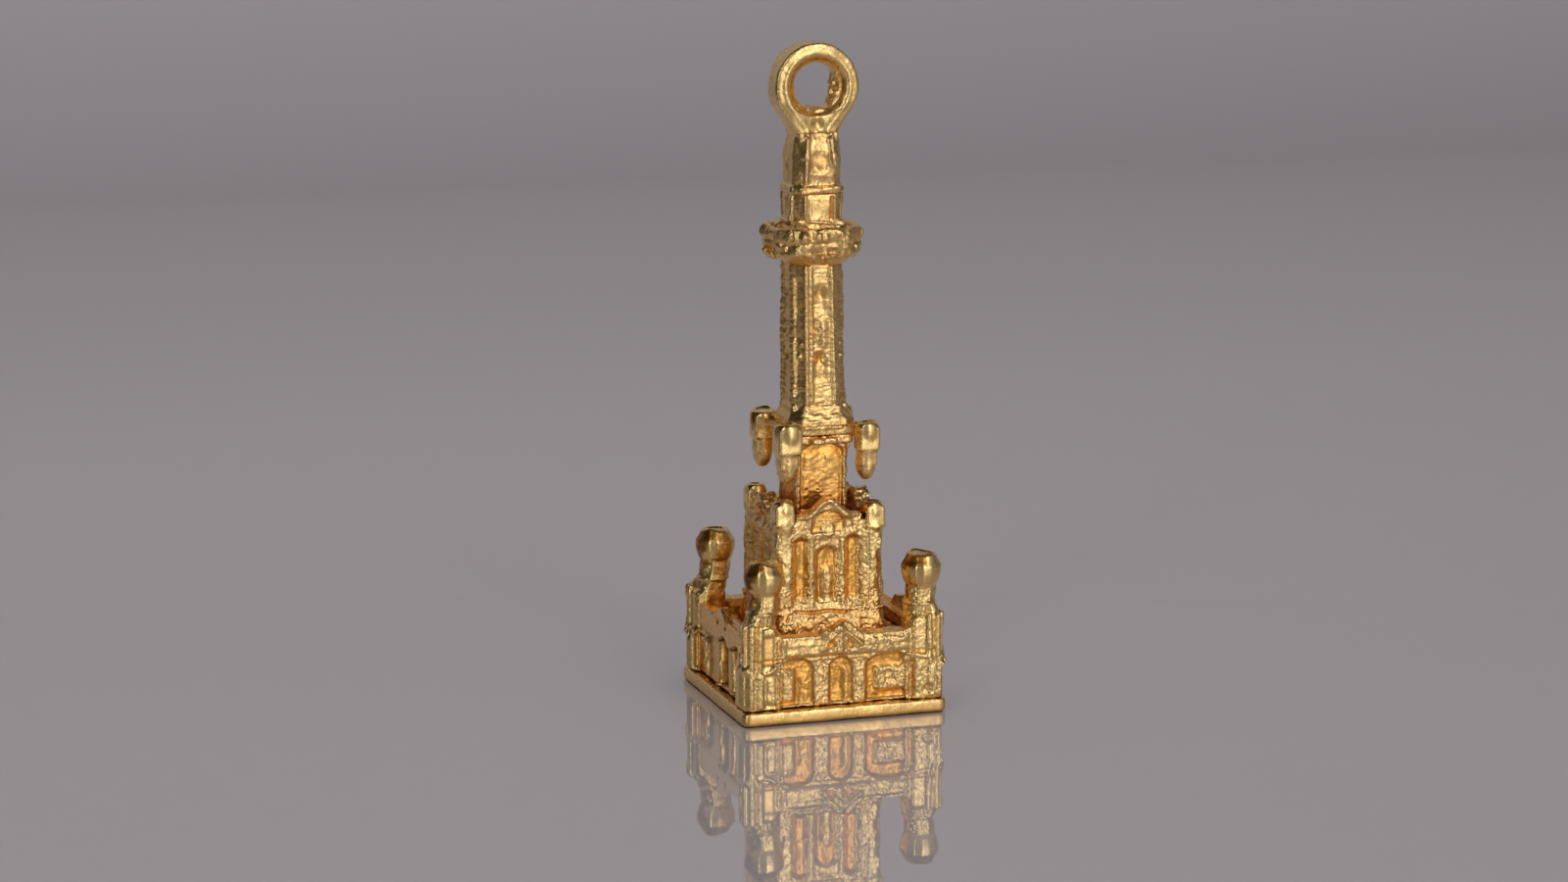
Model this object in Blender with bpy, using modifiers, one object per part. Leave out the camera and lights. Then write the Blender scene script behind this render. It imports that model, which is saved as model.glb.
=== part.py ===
"""A hanging tower charm: a small castellated stone tower cast in gold-coloured metal.

The charm is a stack of castings soldered together. Each casting is one object, and the collection
"tower_charm" holds them all. The front faces -Y, +Z is up, and the origin is the middle of the base
plate's underside. Constants are in millimetres; mm() turns them into Blender's metres.
The solder films between the castings are left open, SOLDER_GAP thick.
"""

import math

import bmesh
import bpy
from mathutils import Matrix, Vector

WELD = 1e-6
SOLDER_GAP = 0.03
OVERLAP = 0.2
EIGHTH = math.radians(45)
ROUND_STEPS = 16

# Base plate
PLATE_SIDE = 9.04
PLATE_THICKNESS = 0.64
PLATE_CORNER = 0.3
PLATE_EDGE = 0.14

# Lower tier: four relief panels between four corner turrets
TURRET_OFFSET = 3.62
TURRET_HALF = 0.76
TURRET_CORNER_CUT = 0.16
TURRET_STEP_Z = 2.55
TURRET_STEP_SETBACK = 0.07
TURRET_SHOULDER_Z = 4.2
TURRET_NECK_OFFSET = 3.5
TURRET_NECK_FLATS = 1.2
TURRET_NECK_Z = 5.5
TURRET_CAP_RADIUS = 0.85
TURRET_TOP_Z = 6.9
WALL_FACE = 4.12
WALL_THICKNESS = 0.7
PARAPET_PROUD = 0.1
PARAPET_THICKNESS = 0.5
PARAPET_FOOT_Z = 2.65
PARAPET_TOP_Z = 3.6
WALL_GABLE_TOP_Z = 4.2
WALL_GABLE_HALF = 0.92
WINDOW_CENTRE = 1.95
WINDOW_HALF = 0.84
WINDOW_SILL_Z = 0.9
WINDOW_CROWN_Z = 2.5
WINDOW_RISE = 0.4
WINDOW_DEPTH = 0.16
DOOR_HALF = 0.5
LIGHT_OFFSET = 0.42
LIGHT_HALF = 0.26
LIGHT_DEPTH = 0.36
DECK_THICKNESS = 0.3
DECK_TOP_Z = 3.05

# Middle tier: a square block with a post in each corner
MIDDLE_HALF = 2.22
MIDDLE_PLINTH_HALF = 2.52
MIDDLE_LEDGE_HALF = 2.4
MIDDLE_LEDGE_Z = 4.35
MIDDLE_ROOF_Z = 8.05
MIDDLE_PARAPET_Z = 8.35
MIDDLE_PARAPET_THICKNESS = 0.42
MIDDLE_GABLE_TOP_Z = 9.0
MIDDLE_GABLE_HALF = 0.95
NICHE_HALF = 0.52
NICHE_DEPTH = 0.3
SLOT_OFFSET = 1.18
SLOT_HALF = 0.26
SLOT_DEPTH = 0.25
TYMPANUM_HALF = 0.7
TYMPANUM_DEPTH = 0.1
MIDDLE_CORE_HALF = 1.3
MIDDLE_CORE_TOP_Z = 6.5
POST_OFFSET = 1.93
POST_FLATS = 0.84
POST_CAP_RADIUS = 0.5
POST_TOP_Z = 9.0

# Upper tier: a smaller block, and a bracket plate whose arms carry four hanging turrets
UPPER_HALF = 1.13
UPPER_CORNICE_HALF = 1.3
UPPER_CORNICE_Z = 11.2
UPPER_TOP_Z = 11.55
UPPER_PANEL_HALF = 0.85
UPPER_PANEL_DEPTH = 0.12
BRACKET_HALF = 1.36
BRACKET_THICKNESS = 0.36
BRACKET_ARM_WIDTH = 0.5
BARTIZAN_OFFSET = 1.79
BARTIZAN_RADIUS = 0.42
BARTIZAN_CAP_RADIUS = 0.55
BARTIZAN_FOOT_Z = 9.68
BARTIZAN_CAP_Z = 11.3
BARTIZAN_TOP_Z = 12.22

# Shaft, with a square spigot at its foot and a round one at its head
SHAFT_FOOT_HALF = 1.46
SHAFT_WAIST_HALF = 1.15
SHAFT_TOP_HALF = 1.08
SHAFT_CUT = 0.46
SHAFT_TOP_Z = 18.75
SHAFT_FOOT_SPIGOT_HALF = 0.6
SHAFT_FOOT_SPIGOT_Z = 10.95
SHAFT_HEAD_SPIGOT_RADIUS = 0.57
SHAFT_HEAD_SPIGOT_Z = 20.6
SHAFT_WINDOW_HALF = 0.27
SHAFT_WINDOW_HEIGHT = 0.95
SHAFT_WINDOW_SILLS_Z = (13.85, 15.3, 16.9)

# Gallery, lantern drum, dome and bail
GALLERY_HALF = 1.86
GALLERY_CUT = 0.82
GALLERY_TOP_Z = 20.4
GALLERY_DECK_Z = 20.1
GALLERY_PARAPET = 0.34
GALLERY_COVE_SETBACK = 0.16
CORBEL_SPACING = 0.72
CORBEL_PROUD = 0.13
CORBEL_WIDTH = 0.28
CORBEL_HEIGHT = 0.5
DRUM_HALF = 1.06
DRUM_CUT = 0.4
DRUM_TOP_Z = 21.75
DRUM_PANEL_HALF = 0.5
DRUM_PANEL_DEPTH = 0.07
DOME_HALF = 1.06
DOME_RIM_HALF = 1.18
DOME_SPIGOT_RADIUS = 0.5
DOME_SPIGOT_Z = 21.35
DOME_TOP_Z = 24.25
BAIL_CENTRE_Z = 26.2
BAIL_OUTER_RADIUS = 1.8
BAIL_EYE_RADIUS = 1.02
BAIL_EYE_DROP = 0.05
BAIL_DEPTH = 1.3
BAIL_EDGE = 0.18
BAIL_NECK_HALF = 0.85
BAIL_STEM_HALF = 0.4
BAIL_STEM_Z = 23.83
BAIL_POINTS = 40

CORNERS = {"front_left": (-1, -1), "front_right": (1, -1), "back_right": (1, 1), "back_left": (-1, 1)}
SIDES = {"front": 0, "right": 90, "back": 180, "left": 270}


def mm(*lengths):
    """Millimetres to metres: a number for one length, a Vector for three."""
    if len(lengths) == 1:
        return lengths[0] / 1000
    return Vector(lengths) / 1000


# ---------------------------------------------------------------- scene and objects


def clear_scene():
    for obj in list(bpy.data.objects):
        bpy.data.objects.remove(obj)


def new_collection(name):
    collection = bpy.data.collections.new(name)
    bpy.context.scene.collection.children.link(collection)
    return collection


def new_material(name, colour, roughness):
    material = bpy.data.materials.new(name)
    material.use_nodes = True
    shader = material.node_tree.nodes["Principled BSDF"]
    shader.inputs["Base Color"].default_value = (*colour, 1)
    shader.inputs["Metallic"].default_value = 1.0
    shader.inputs["Roughness"].default_value = roughness
    return material


def helper(name, data):
    """A shape on the way to a casting. It never renders, so that it isn't a part by itself."""
    obj = bpy.data.objects.new(name, data)
    workshop.objects.link(obj)
    obj.hide_render = True
    obj.display_type = "WIRE"
    return obj


def finished_mesh(obj):
    """The object's evaluated mesh in world space, welded, with its faces pointing out."""
    bpy.context.view_layer.update()
    graph = bpy.context.evaluated_depsgraph_get()
    mesh = bpy.data.meshes.new_from_object(obj.evaluated_get(graph))
    mesh.transform(obj.matrix_world)
    shape = bmesh.new()
    shape.from_mesh(mesh)
    bmesh.ops.remove_doubles(shape, verts=shape.verts, dist=WELD)
    bmesh.ops.recalc_face_normals(shape, faces=shape.faces)
    shape.to_mesh(mesh)
    shape.free()
    bpy.data.objects.remove(obj)
    return mesh


def casting(name, mesh, material, turn=0):
    """A part: a mesh placed by a turn about the tower's axis, in degrees."""
    obj = bpy.data.objects.new(name, mesh)
    charm.objects.link(obj)
    obj.rotation_euler.z = math.radians(turn)
    if not mesh.materials:
        mesh.materials.append(material)
    mesh.shade_smooth()
    mesh.set_sharp_from_angle(angle=math.radians(35))
    return obj


# ---------------------------------------------------------------- shapes


def box(name, low, high):
    """An upright box between two corners."""
    bpy.ops.mesh.primitive_cube_add(size=1)
    cube = bpy.context.active_object
    cube.scale = mm(*(b - a for a, b in zip(low, high)))
    cube.location = mm(*((a + b) / 2 for a, b in zip(low, high)))
    mesh = finished_mesh(cube)
    return helper(name, mesh)


def square_box(name, half, foot, head):
    return box(name, (-half, -half, foot), (half, half, head))


def turned(name, profile, steps=ROUND_STEPS):
    """A turned shape from (radius, height) points that run down its outer side, top to bottom."""
    points = [(mm(radius), 0, mm(height)) for radius, height in profile]
    edges = [(i, i + 1) for i in range(len(points) - 1)]
    mesh = bpy.data.meshes.new(name)
    mesh.from_pydata(points, edges, [])
    obj = helper(name, mesh)
    screw = obj.modifiers.new("Turn", "SCREW")
    screw.steps = steps
    screw.render_steps = steps
    screw.use_merge_vertices = True
    screw.merge_threshold = WELD
    obj.rotation_euler.z = math.pi / steps
    return helper(name, finished_mesh(obj))


def round_pin(name, radius, foot, head):
    return turned(name, [(0, head), (radius, head), (radius, foot), (0, foot)])


def octagonal_pin(name, flats, foot, head, centre):
    """An eight-sided pin with one of its flats facing the front."""
    radius = flats / 2 / math.cos(EIGHTH / 2)
    pin = turned(name, [(0, head), (radius, head), (radius, foot), (0, foot)], 8)
    pin.location = mm(*centre, 0)
    return pin


def extruded(name, outlines, front, back):
    """Outlines of (x, z) points, thickened along Y from front to back. Inner outlines are holes."""
    curve = bpy.data.curves.new(name, "CURVE")
    curve.dimensions = "2D"
    curve.fill_mode = "BOTH"
    curve.extrude = mm(back - front) / 2
    for outline in outlines:
        spline = curve.splines.new("POLY")
        spline.points.add(len(outline) - 1)
        spline.use_cyclic_u = True
        for point, (x, z) in zip(spline.points, outline):
            point.co = (mm(x), mm(z), 0, 1)
    obj = helper(name, curve)
    obj.rotation_euler.x = math.pi / 2
    obj.location.y = mm(front + back) / 2
    return helper(name, finished_mesh(obj))


def frustum(name, foot_half, head_half, foot, head):
    """A square block whose sides lean in."""
    shape = bmesh.new()
    bmesh.ops.create_cone(
        shape, cap_ends=True, segments=4, depth=mm(head - foot),
        radius1=mm(foot_half) * math.sqrt(2), radius2=mm(head_half) * math.sqrt(2),
    )
    bmesh.ops.rotate(shape, verts=shape.verts, matrix=Matrix.Rotation(EIGHTH, 3, "Z"))
    bmesh.ops.translate(shape, verts=shape.verts, vec=mm(0, 0, (foot + head) / 2))
    mesh = bpy.data.meshes.new(name)
    shape.to_mesh(mesh)
    shape.free()
    return helper(name, mesh)


def chamfered_stack(name, sections):
    """A loft between squares with cut corners: each section is (height, half width, length of the cut)."""
    shape = bmesh.new()
    rings = []
    for height, half, cut in sections:
        quarter = [(half, half - cut), (half - cut, half)]
        ring = []
        for turn in range(4):
            for x, y in quarter:
                corner = Matrix.Rotation(turn * math.pi / 2, 3, "Z") @ mm(x, y, height)
                ring.append(shape.verts.new(corner))
        rings.append(ring)
    for lower, upper in zip(rings, rings[1:]):
        for i in range(8):
            shape.faces.new((lower[i], lower[(i + 1) % 8], upper[(i + 1) % 8], upper[i]))
    shape.faces.new(reversed(rings[0]))
    shape.faces.new(rings[-1])
    mesh = bpy.data.meshes.new(name)
    shape.to_mesh(mesh)
    shape.free()
    return helper(name, mesh)


def combine(body, operation, tools, turns=(0,)):
    """Joins tools to a body, or cuts them from it, once for each turn about the tower's axis."""
    for tool in tools:
        for turn in turns:
            copy = helper(tool.name + "_copy", tool.data)
            copy.matrix_world = Matrix.Rotation(math.radians(turn), 4, "Z") @ tool.matrix_basis
            modifier = body.modifiers.new(operation.title(), "BOOLEAN")
            modifier.operation = operation
            modifier.solver = "EXACT"
            modifier.object = copy
    result = helper(body.name, finished_mesh(body))
    for leftover in [o for o in workshop.objects if o.name.split(".")[0].endswith("_copy")]:
        bpy.data.objects.remove(leftover)
    for tool in tools:
        bpy.data.objects.remove(tool)
    return result


def join(body, *tools, turns=(0,)):
    return combine(body, "UNION", tools, turns)


def cut(body, *tools, turns=(0,)):
    return combine(body, "DIFFERENCE", tools, turns)


# ---------------------------------------------------------------- outlines


def arch(centre, half, sill, crown, rise, steps=8):
    """A window outline: straight jambs under half an ellipse."""
    head = [
        (centre + half * math.cos(math.pi * i / steps), crown - rise + rise * math.sin(math.pi * i / steps))
        for i in range(steps + 1)
    ]
    return [(centre - half, sill), (centre + half, sill), *head]


def gable(half, foot, eaves, crown, steps=12):
    """A bell-shaped gable on the level of the eaves."""
    top = []
    for i in range(steps + 1):
        x = half * (1 - 2 * i / steps)
        top.append((x, eaves + (crown - eaves) * (0.5 + 0.5 * math.cos(math.pi * x / half)) ** 0.8))
    return [(-half, foot), (half, foot), *top]


# ---------------------------------------------------------------- castings


def base_plate():
    plate = square_box("base_plate", PLATE_SIDE / 2, 0, PLATE_THICKNESS)
    shape = bmesh.new()
    shape.from_mesh(plate.data)
    upright = [e for e in shape.edges if abs(e.verts[0].co.z - e.verts[1].co.z) > WELD]
    bmesh.ops.bevel(shape, geom=upright, offset=mm(PLATE_CORNER), segments=4, profile=0.5, affect="EDGES")
    shape.to_mesh(plate.data)
    shape.free()
    rim = plate.modifiers.new("Rim", "BEVEL")
    rim.width = mm(PLATE_EDGE)
    rim.segments = 2
    rim.limit_method = "ANGLE"
    rim.angle_limit = math.radians(60)
    casting("base_plate", finished_mesh(plate), polished)


def lower_walls():
    """The front panel, then its mesh again at each quarter turn."""
    end = TURRET_OFFSET - TURRET_HALF - SOLDER_GAP
    foot = PLATE_THICKNESS + SOLDER_GAP
    back = -WALL_FACE + WALL_THICKNESS
    face = -WALL_FACE - PARAPET_PROUD
    wall = box("wall", (-end, -WALL_FACE, foot), (end, back, PARAPET_TOP_Z))
    parapet = box(
        "parapet", (-end, face, PARAPET_FOOT_Z), (end, face + PARAPET_THICKNESS, PARAPET_TOP_Z)
    )
    crest = extruded(
        "crest",
        [gable(WALL_GABLE_HALF, PARAPET_TOP_Z - OVERLAP, PARAPET_TOP_Z - 0.02, WALL_GABLE_TOP_Z)],
        face + 0.02, face + PARAPET_THICKNESS - 0.02,
    )
    wall = join(wall, parapet, crest)

    outside = -WALL_FACE - OVERLAP / 4
    door_outline = arch(0, DOOR_HALF, WINDOW_SILL_Z - 0.1, WINDOW_CROWN_Z, WINDOW_RISE)
    door = extruded("door", [door_outline], outside, -WALL_FACE + LIGHT_DEPTH)
    recesses = [door]
    for side in (-1, 1):
        centre = side * WINDOW_CENTRE
        frame = arch(centre, WINDOW_HALF, WINDOW_SILL_Z, WINDOW_CROWN_Z, WINDOW_RISE)
        recesses.append(extruded("window", [frame], outside, -WALL_FACE + WINDOW_DEPTH))
        for light in (-1, 1):
            pane = arch(
                centre + light * LIGHT_OFFSET, LIGHT_HALF, WINDOW_SILL_Z + 0.08, WINDOW_CROWN_Z - 0.2, 0.22
            )
            recesses.append(extruded("light", [pane], outside, -WALL_FACE + LIGHT_DEPTH))
    mesh = finished_mesh(cut(wall, *recesses))
    for side, turn in SIDES.items():
        casting("wall_" + side, mesh, cast, turn)


def corner_turrets():
    """A square buttress in two steps, then an eight-sided neck under a barrel-shaped cap."""
    foot = PLATE_THICKNESS + SOLDER_GAP
    upper_half = TURRET_HALF - TURRET_STEP_SETBACK
    buttress = chamfered_stack(
        "buttress",
        [
            (foot, TURRET_HALF, TURRET_CORNER_CUT),
            (TURRET_STEP_Z, TURRET_HALF, TURRET_CORNER_CUT),
            (TURRET_STEP_Z + TURRET_STEP_SETBACK, upper_half, TURRET_CORNER_CUT),
            (TURRET_SHOULDER_Z - 0.15, upper_half, TURRET_CORNER_CUT),
            (TURRET_SHOULDER_Z, upper_half - 0.12, TURRET_CORNER_CUT),
        ],
    )
    buttress.location = mm(-TURRET_OFFSET, -TURRET_OFFSET, 0)
    neck_centre = (-TURRET_NECK_OFFSET, -TURRET_NECK_OFFSET)
    neck = octagonal_pin(
        "neck", TURRET_NECK_FLATS, TURRET_SHOULDER_Z - OVERLAP, TURRET_NECK_Z + 0.1, neck_centre
    )
    cap = bead("cap", TURRET_CAP_RADIUS, TURRET_NECK_FLATS / 2 - 0.03, TURRET_NECK_Z, TURRET_TOP_Z)
    cap.location = mm(*neck_centre, 0)
    place_on_corners("corner_turret", finished_mesh(join(buttress, neck, cap)))


def bead(name, radius, neck, foot, top):
    """A barrel-shaped turret cap whose top is a shallow dish."""
    height = top - foot
    return turned(
        name,
        [
            (0, top - 0.16),
            (0.55 * radius, top - 0.12),
            (0.72 * radius, top),
            (0.9 * radius, top - 0.08 * height),
            (radius, top - 0.35 * height),
            (0.98 * radius, top - 0.6 * height),
            (0.85 * radius, top - 0.85 * height),
            (neck, foot),
            (0, foot),
        ],
    )


def place_on_corners(name, mesh):
    """A mesh made at the front left corner goes to all four."""
    for turn, corner in enumerate(CORNERS):
        casting(f"{name}_{corner}", mesh, polished, turn * 90)


def terrace_deck():
    """The floor between the lower walls, notched at its corners for the turrets."""
    half = WALL_FACE - WALL_THICKNESS - SOLDER_GAP
    inner = TURRET_OFFSET - TURRET_HALF - SOLDER_GAP
    foot = DECK_TOP_Z - DECK_THICKNESS
    deck = square_box("deck", half, foot, DECK_TOP_Z)
    notch = box(
        "notch", (inner, inner, foot - OVERLAP), (half + OVERLAP, half + OVERLAP, DECK_TOP_Z + OVERLAP)
    )
    casting("terrace_deck", finished_mesh(cut(deck, notch, turns=SIDES.values())), cast)


def middle_tier():
    """A cored block with a plinth, a parapet with four gables, blind windows and a notch for each post."""
    foot = DECK_TOP_Z + SOLDER_GAP
    tier = square_box("tier", MIDDLE_HALF, foot, MIDDLE_PARAPET_Z)
    plinth = frustum("plinth", MIDDLE_PLINTH_HALF, MIDDLE_HALF + 0.03, foot + 0.01, MIDDLE_LEDGE_Z - 0.2)
    ledge = square_box("ledge", MIDDLE_LEDGE_HALF, MIDDLE_LEDGE_Z - 0.17, MIDDLE_LEDGE_Z)
    tier = join(tier, plinth, ledge)
    crest = extruded(
        "crest",
        [gable(MIDDLE_GABLE_HALF, MIDDLE_ROOF_Z - OVERLAP, MIDDLE_PARAPET_Z - 0.02, MIDDLE_GABLE_TOP_Z)],
        -MIDDLE_HALF - 0.06, -MIDDLE_HALF + MIDDLE_PARAPET_THICKNESS + 0.02,
    )
    tier = join(tier, crest, turns=SIDES.values())
    roof = square_box(
        "roof", MIDDLE_HALF - MIDDLE_PARAPET_THICKNESS, MIDDLE_ROOF_Z, MIDDLE_GABLE_TOP_Z + OVERLAP
    )
    core = square_box("core", MIDDLE_CORE_HALF, foot - OVERLAP, MIDDLE_CORE_TOP_Z)
    tier = cut(tier, roof, core)

    outside = -MIDDLE_HALF - OVERLAP
    niche = extruded("niche", [arch(0, NICHE_HALF, 4.6, 7.1, 0.45)], outside, -MIDDLE_HALF + NICHE_DEPTH)
    tympanum = extruded(
        "tympanum", [arch(0, TYMPANUM_HALF, 7.5, 8.55, 0.62)], outside, -MIDDLE_HALF + TYMPANUM_DEPTH
    )
    slots = [
        extruded(
            "slot",
            [arch(side * SLOT_OFFSET, SLOT_HALF, 4.8, 7.5, SLOT_HALF)],
            outside, -MIDDLE_HALF + SLOT_DEPTH,
        )
        for side in (-1, 1)
    ]
    tier = cut(tier, niche, tympanum, *slots, turns=SIDES.values())

    corner = (-POST_OFFSET, -POST_OFFSET)
    shaft_notch = octagonal_pin(
        "shaft_notch", POST_FLATS + 2 * SOLDER_GAP, MIDDLE_LEDGE_Z, MIDDLE_GABLE_TOP_Z + OVERLAP, corner
    )
    cap_notch = octagonal_pin(
        "cap_notch", 2 * (POST_CAP_RADIUS + SOLDER_GAP), MIDDLE_ROOF_Z, MIDDLE_GABLE_TOP_Z + OVERLAP, corner
    )
    tier = cut(tier, shaft_notch, cap_notch, turns=SIDES.values())
    casting("middle_tier", finished_mesh(tier), cast)


def middle_posts():
    """Eight-sided posts that stand on the ledge, each with a small cap like the turrets'."""
    corner = (-POST_OFFSET, -POST_OFFSET)
    cap_foot = MIDDLE_ROOF_Z + 0.05
    post = octagonal_pin("post", POST_FLATS, MIDDLE_LEDGE_Z + SOLDER_GAP, cap_foot + 0.1, corner)
    cap = bead("cap", POST_CAP_RADIUS, 0.9 * POST_FLATS / 2, cap_foot, POST_TOP_Z)
    cap.location = mm(*corner, 0)
    place_on_corners("middle_post", finished_mesh(join(post, cap)))


def upper_tier():
    """A block under a cornice, with a blind arch in each face and a socket for the shaft's spigot."""
    tier = square_box("tier", UPPER_HALF, MIDDLE_ROOF_Z + SOLDER_GAP, UPPER_CORNICE_Z + 0.1)
    cornice = square_box("cornice", UPPER_CORNICE_HALF, UPPER_CORNICE_Z, UPPER_TOP_Z)
    tier = join(tier, cornice)
    panel = extruded(
        "panel",
        [arch(0, UPPER_PANEL_HALF, 8.6, 11.05, 0.35)],
        -UPPER_HALF - 0.05, -UPPER_HALF + UPPER_PANEL_DEPTH,
    )
    socket = square_box(
        "socket", SHAFT_FOOT_SPIGOT_HALF + SOLDER_GAP, SHAFT_FOOT_SPIGOT_Z - 0.05, UPPER_TOP_Z + OVERLAP
    )
    tier = cut(tier, panel, turns=SIDES.values())
    tier = cut(tier, socket)
    casting("upper_tier", finished_mesh(tier), cast)


def bracket_plate():
    """A square plate with a diagonal arm to each hanging turret, and a hole for the shaft's spigot."""
    foot = UPPER_TOP_Z + SOLDER_GAP
    head = foot + BRACKET_THICKNESS
    reach = BARTIZAN_OFFSET * math.sqrt(2) - BARTIZAN_CAP_RADIUS - SOLDER_GAP
    plate = square_box("plate", BRACKET_HALF, foot, head)
    arms = box(
        "arms", (-reach, -BRACKET_ARM_WIDTH / 2, foot + 0.02), (reach, BRACKET_ARM_WIDTH / 2, head - 0.02)
    )
    hole = square_box("hole", SHAFT_FOOT_SPIGOT_HALF + SOLDER_GAP, foot - OVERLAP, head + OVERLAP)
    plate = cut(join(plate, arms, turns=(45, 135)), hole)
    casting("bracket_plate", finished_mesh(plate), cast)


def bartizans():
    """Hanging turrets: a cap like the others over a body that closes to a blunt point."""
    body = turned(
        "body",
        [
            (0, BARTIZAN_CAP_Z + 0.1),
            (BARTIZAN_RADIUS, BARTIZAN_CAP_Z + 0.1),
            (BARTIZAN_RADIUS, BARTIZAN_FOOT_Z + 0.85),
            (0.88 * BARTIZAN_RADIUS, BARTIZAN_FOOT_Z + 0.4),
            (0.5 * BARTIZAN_RADIUS, BARTIZAN_FOOT_Z + 0.1),
            (0, BARTIZAN_FOOT_Z),
        ],
    )
    cap = bead("cap", BARTIZAN_CAP_RADIUS, 0.9 * BARTIZAN_RADIUS, BARTIZAN_CAP_Z, BARTIZAN_TOP_Z)
    for piece in (body, cap):
        piece.location = mm(-BARTIZAN_OFFSET, -BARTIZAN_OFFSET, 0)
    place_on_corners("bartizan", finished_mesh(join(body, cap)))


def tower_shaft():
    """The tapering eight-sided shaft on a flared skirt, with three blind windows in each wide face."""
    foot = UPPER_TOP_Z + BRACKET_THICKNESS + 2 * SOLDER_GAP
    shaft = chamfered_stack(
        "shaft",
        [
            (foot, SHAFT_FOOT_HALF, SHAFT_CUT),
            (foot + 0.25, SHAFT_FOOT_HALF - 0.02, SHAFT_CUT),
            (foot + 0.75, SHAFT_WAIST_HALF, SHAFT_CUT),
            (SHAFT_TOP_Z, SHAFT_TOP_HALF, SHAFT_CUT),
        ],
    )
    foot_spigot = square_box("foot_spigot", SHAFT_FOOT_SPIGOT_HALF, SHAFT_FOOT_SPIGOT_Z, foot + OVERLAP)
    head_spigot = round_pin(
        "head_spigot", SHAFT_HEAD_SPIGOT_RADIUS, SHAFT_TOP_Z - OVERLAP, SHAFT_HEAD_SPIGOT_Z
    )
    shaft = join(shaft, foot_spigot, head_spigot)
    windows = [
        extruded(
            "window",
            [arch(0, SHAFT_WINDOW_HALF, sill, sill + SHAFT_WINDOW_HEIGHT, SHAFT_WINDOW_HALF)],
            -SHAFT_FOOT_HALF, -SHAFT_TOP_HALF + 0.08,
        )
        for sill in SHAFT_WINDOW_SILLS_Z
    ]
    shaft = cut(shaft, *windows, turns=SIDES.values())
    casting("tower_shaft", finished_mesh(shaft), cast)


def gallery():
    """An eight-sided balcony: a cove, a row of corbels, a parapet round a sunken deck, and a bore."""
    foot = SHAFT_TOP_Z + SOLDER_GAP
    cove = GALLERY_HALF - GALLERY_COVE_SETBACK
    ring = chamfered_stack(
        "ring",
        [
            (foot, SHAFT_TOP_HALF + 0.04, SHAFT_CUT),
            (foot + 0.15, GALLERY_HALF - 0.36, GALLERY_CUT - 0.16),
            (foot + 0.5, cove, GALLERY_CUT - 0.06),
            (GALLERY_TOP_Z - 0.65, cove, GALLERY_CUT - 0.06),
            (GALLERY_TOP_Z - 0.55, GALLERY_HALF - 0.02, GALLERY_CUT),
            (GALLERY_TOP_Z - 0.1, GALLERY_HALF, GALLERY_CUT),
            (GALLERY_TOP_Z, GALLERY_HALF - 0.03, GALLERY_CUT),
        ],
    )
    well_half = GALLERY_HALF - GALLERY_PARAPET
    well_cut = GALLERY_CUT - 0.2
    well = chamfered_stack(
        "well", [(GALLERY_DECK_Z, well_half, well_cut), (GALLERY_TOP_Z + OVERLAP, well_half, well_cut)]
    )
    corbels = [corbel(x, 0, cove, foot + 0.35) for x in (-CORBEL_SPACING, 0, CORBEL_SPACING)]
    diagonal = (2 * cove - GALLERY_CUT + 0.06) / math.sqrt(2)
    corbels += [corbel(x, 45, diagonal, foot + 0.35) for x in (-0.3, 0.3)]
    ring = join(ring, *corbels, turns=SIDES.values())
    bore = round_pin(
        "bore", SHAFT_HEAD_SPIGOT_RADIUS + 2 * SOLDER_GAP, foot - OVERLAP, GALLERY_TOP_Z + OVERLAP
    )
    casting("gallery", finished_mesh(cut(ring, well, bore)), cast)


def corbel(x, turn, face, foot):
    """A small block that stands out of a wall at the given distance from the axis."""
    block = box(
        "corbel",
        (x - CORBEL_WIDTH / 2, -face - CORBEL_PROUD, foot),
        (x + CORBEL_WIDTH / 2, -face + OVERLAP, foot + CORBEL_HEIGHT),
    )
    block.rotation_euler.z = math.radians(turn)
    return block


def lantern_drum():
    """The eight-sided lantern, with a sunken panel in each wide face and a socket at each end."""
    foot = GALLERY_DECK_Z + SOLDER_GAP
    drum = chamfered_stack(
        "drum",
        [
            (foot, DRUM_HALF + 0.1, DRUM_CUT),
            (foot + 0.2, DRUM_HALF, DRUM_CUT),
            (DRUM_TOP_Z, DRUM_HALF, DRUM_CUT),
        ],
    )
    panel = extruded(
        "panel",
        [arch(0, DRUM_PANEL_HALF, foot + 0.35, DRUM_TOP_Z - 0.12, 0.08)],
        -DRUM_HALF - OVERLAP, -DRUM_HALF + DRUM_PANEL_DEPTH,
    )
    drum = cut(drum, panel, turns=SIDES.values())
    lower = round_pin(
        "lower", SHAFT_HEAD_SPIGOT_RADIUS + 2 * SOLDER_GAP, foot - OVERLAP, SHAFT_HEAD_SPIGOT_Z + SOLDER_GAP
    )
    upper = round_pin(
        "upper", DOME_SPIGOT_RADIUS + 2 * SOLDER_GAP, DOME_SPIGOT_Z - SOLDER_GAP, DRUM_TOP_Z + OVERLAP
    )
    casting("lantern_drum", finished_mesh(cut(drum, lower, upper)), cast)


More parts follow.
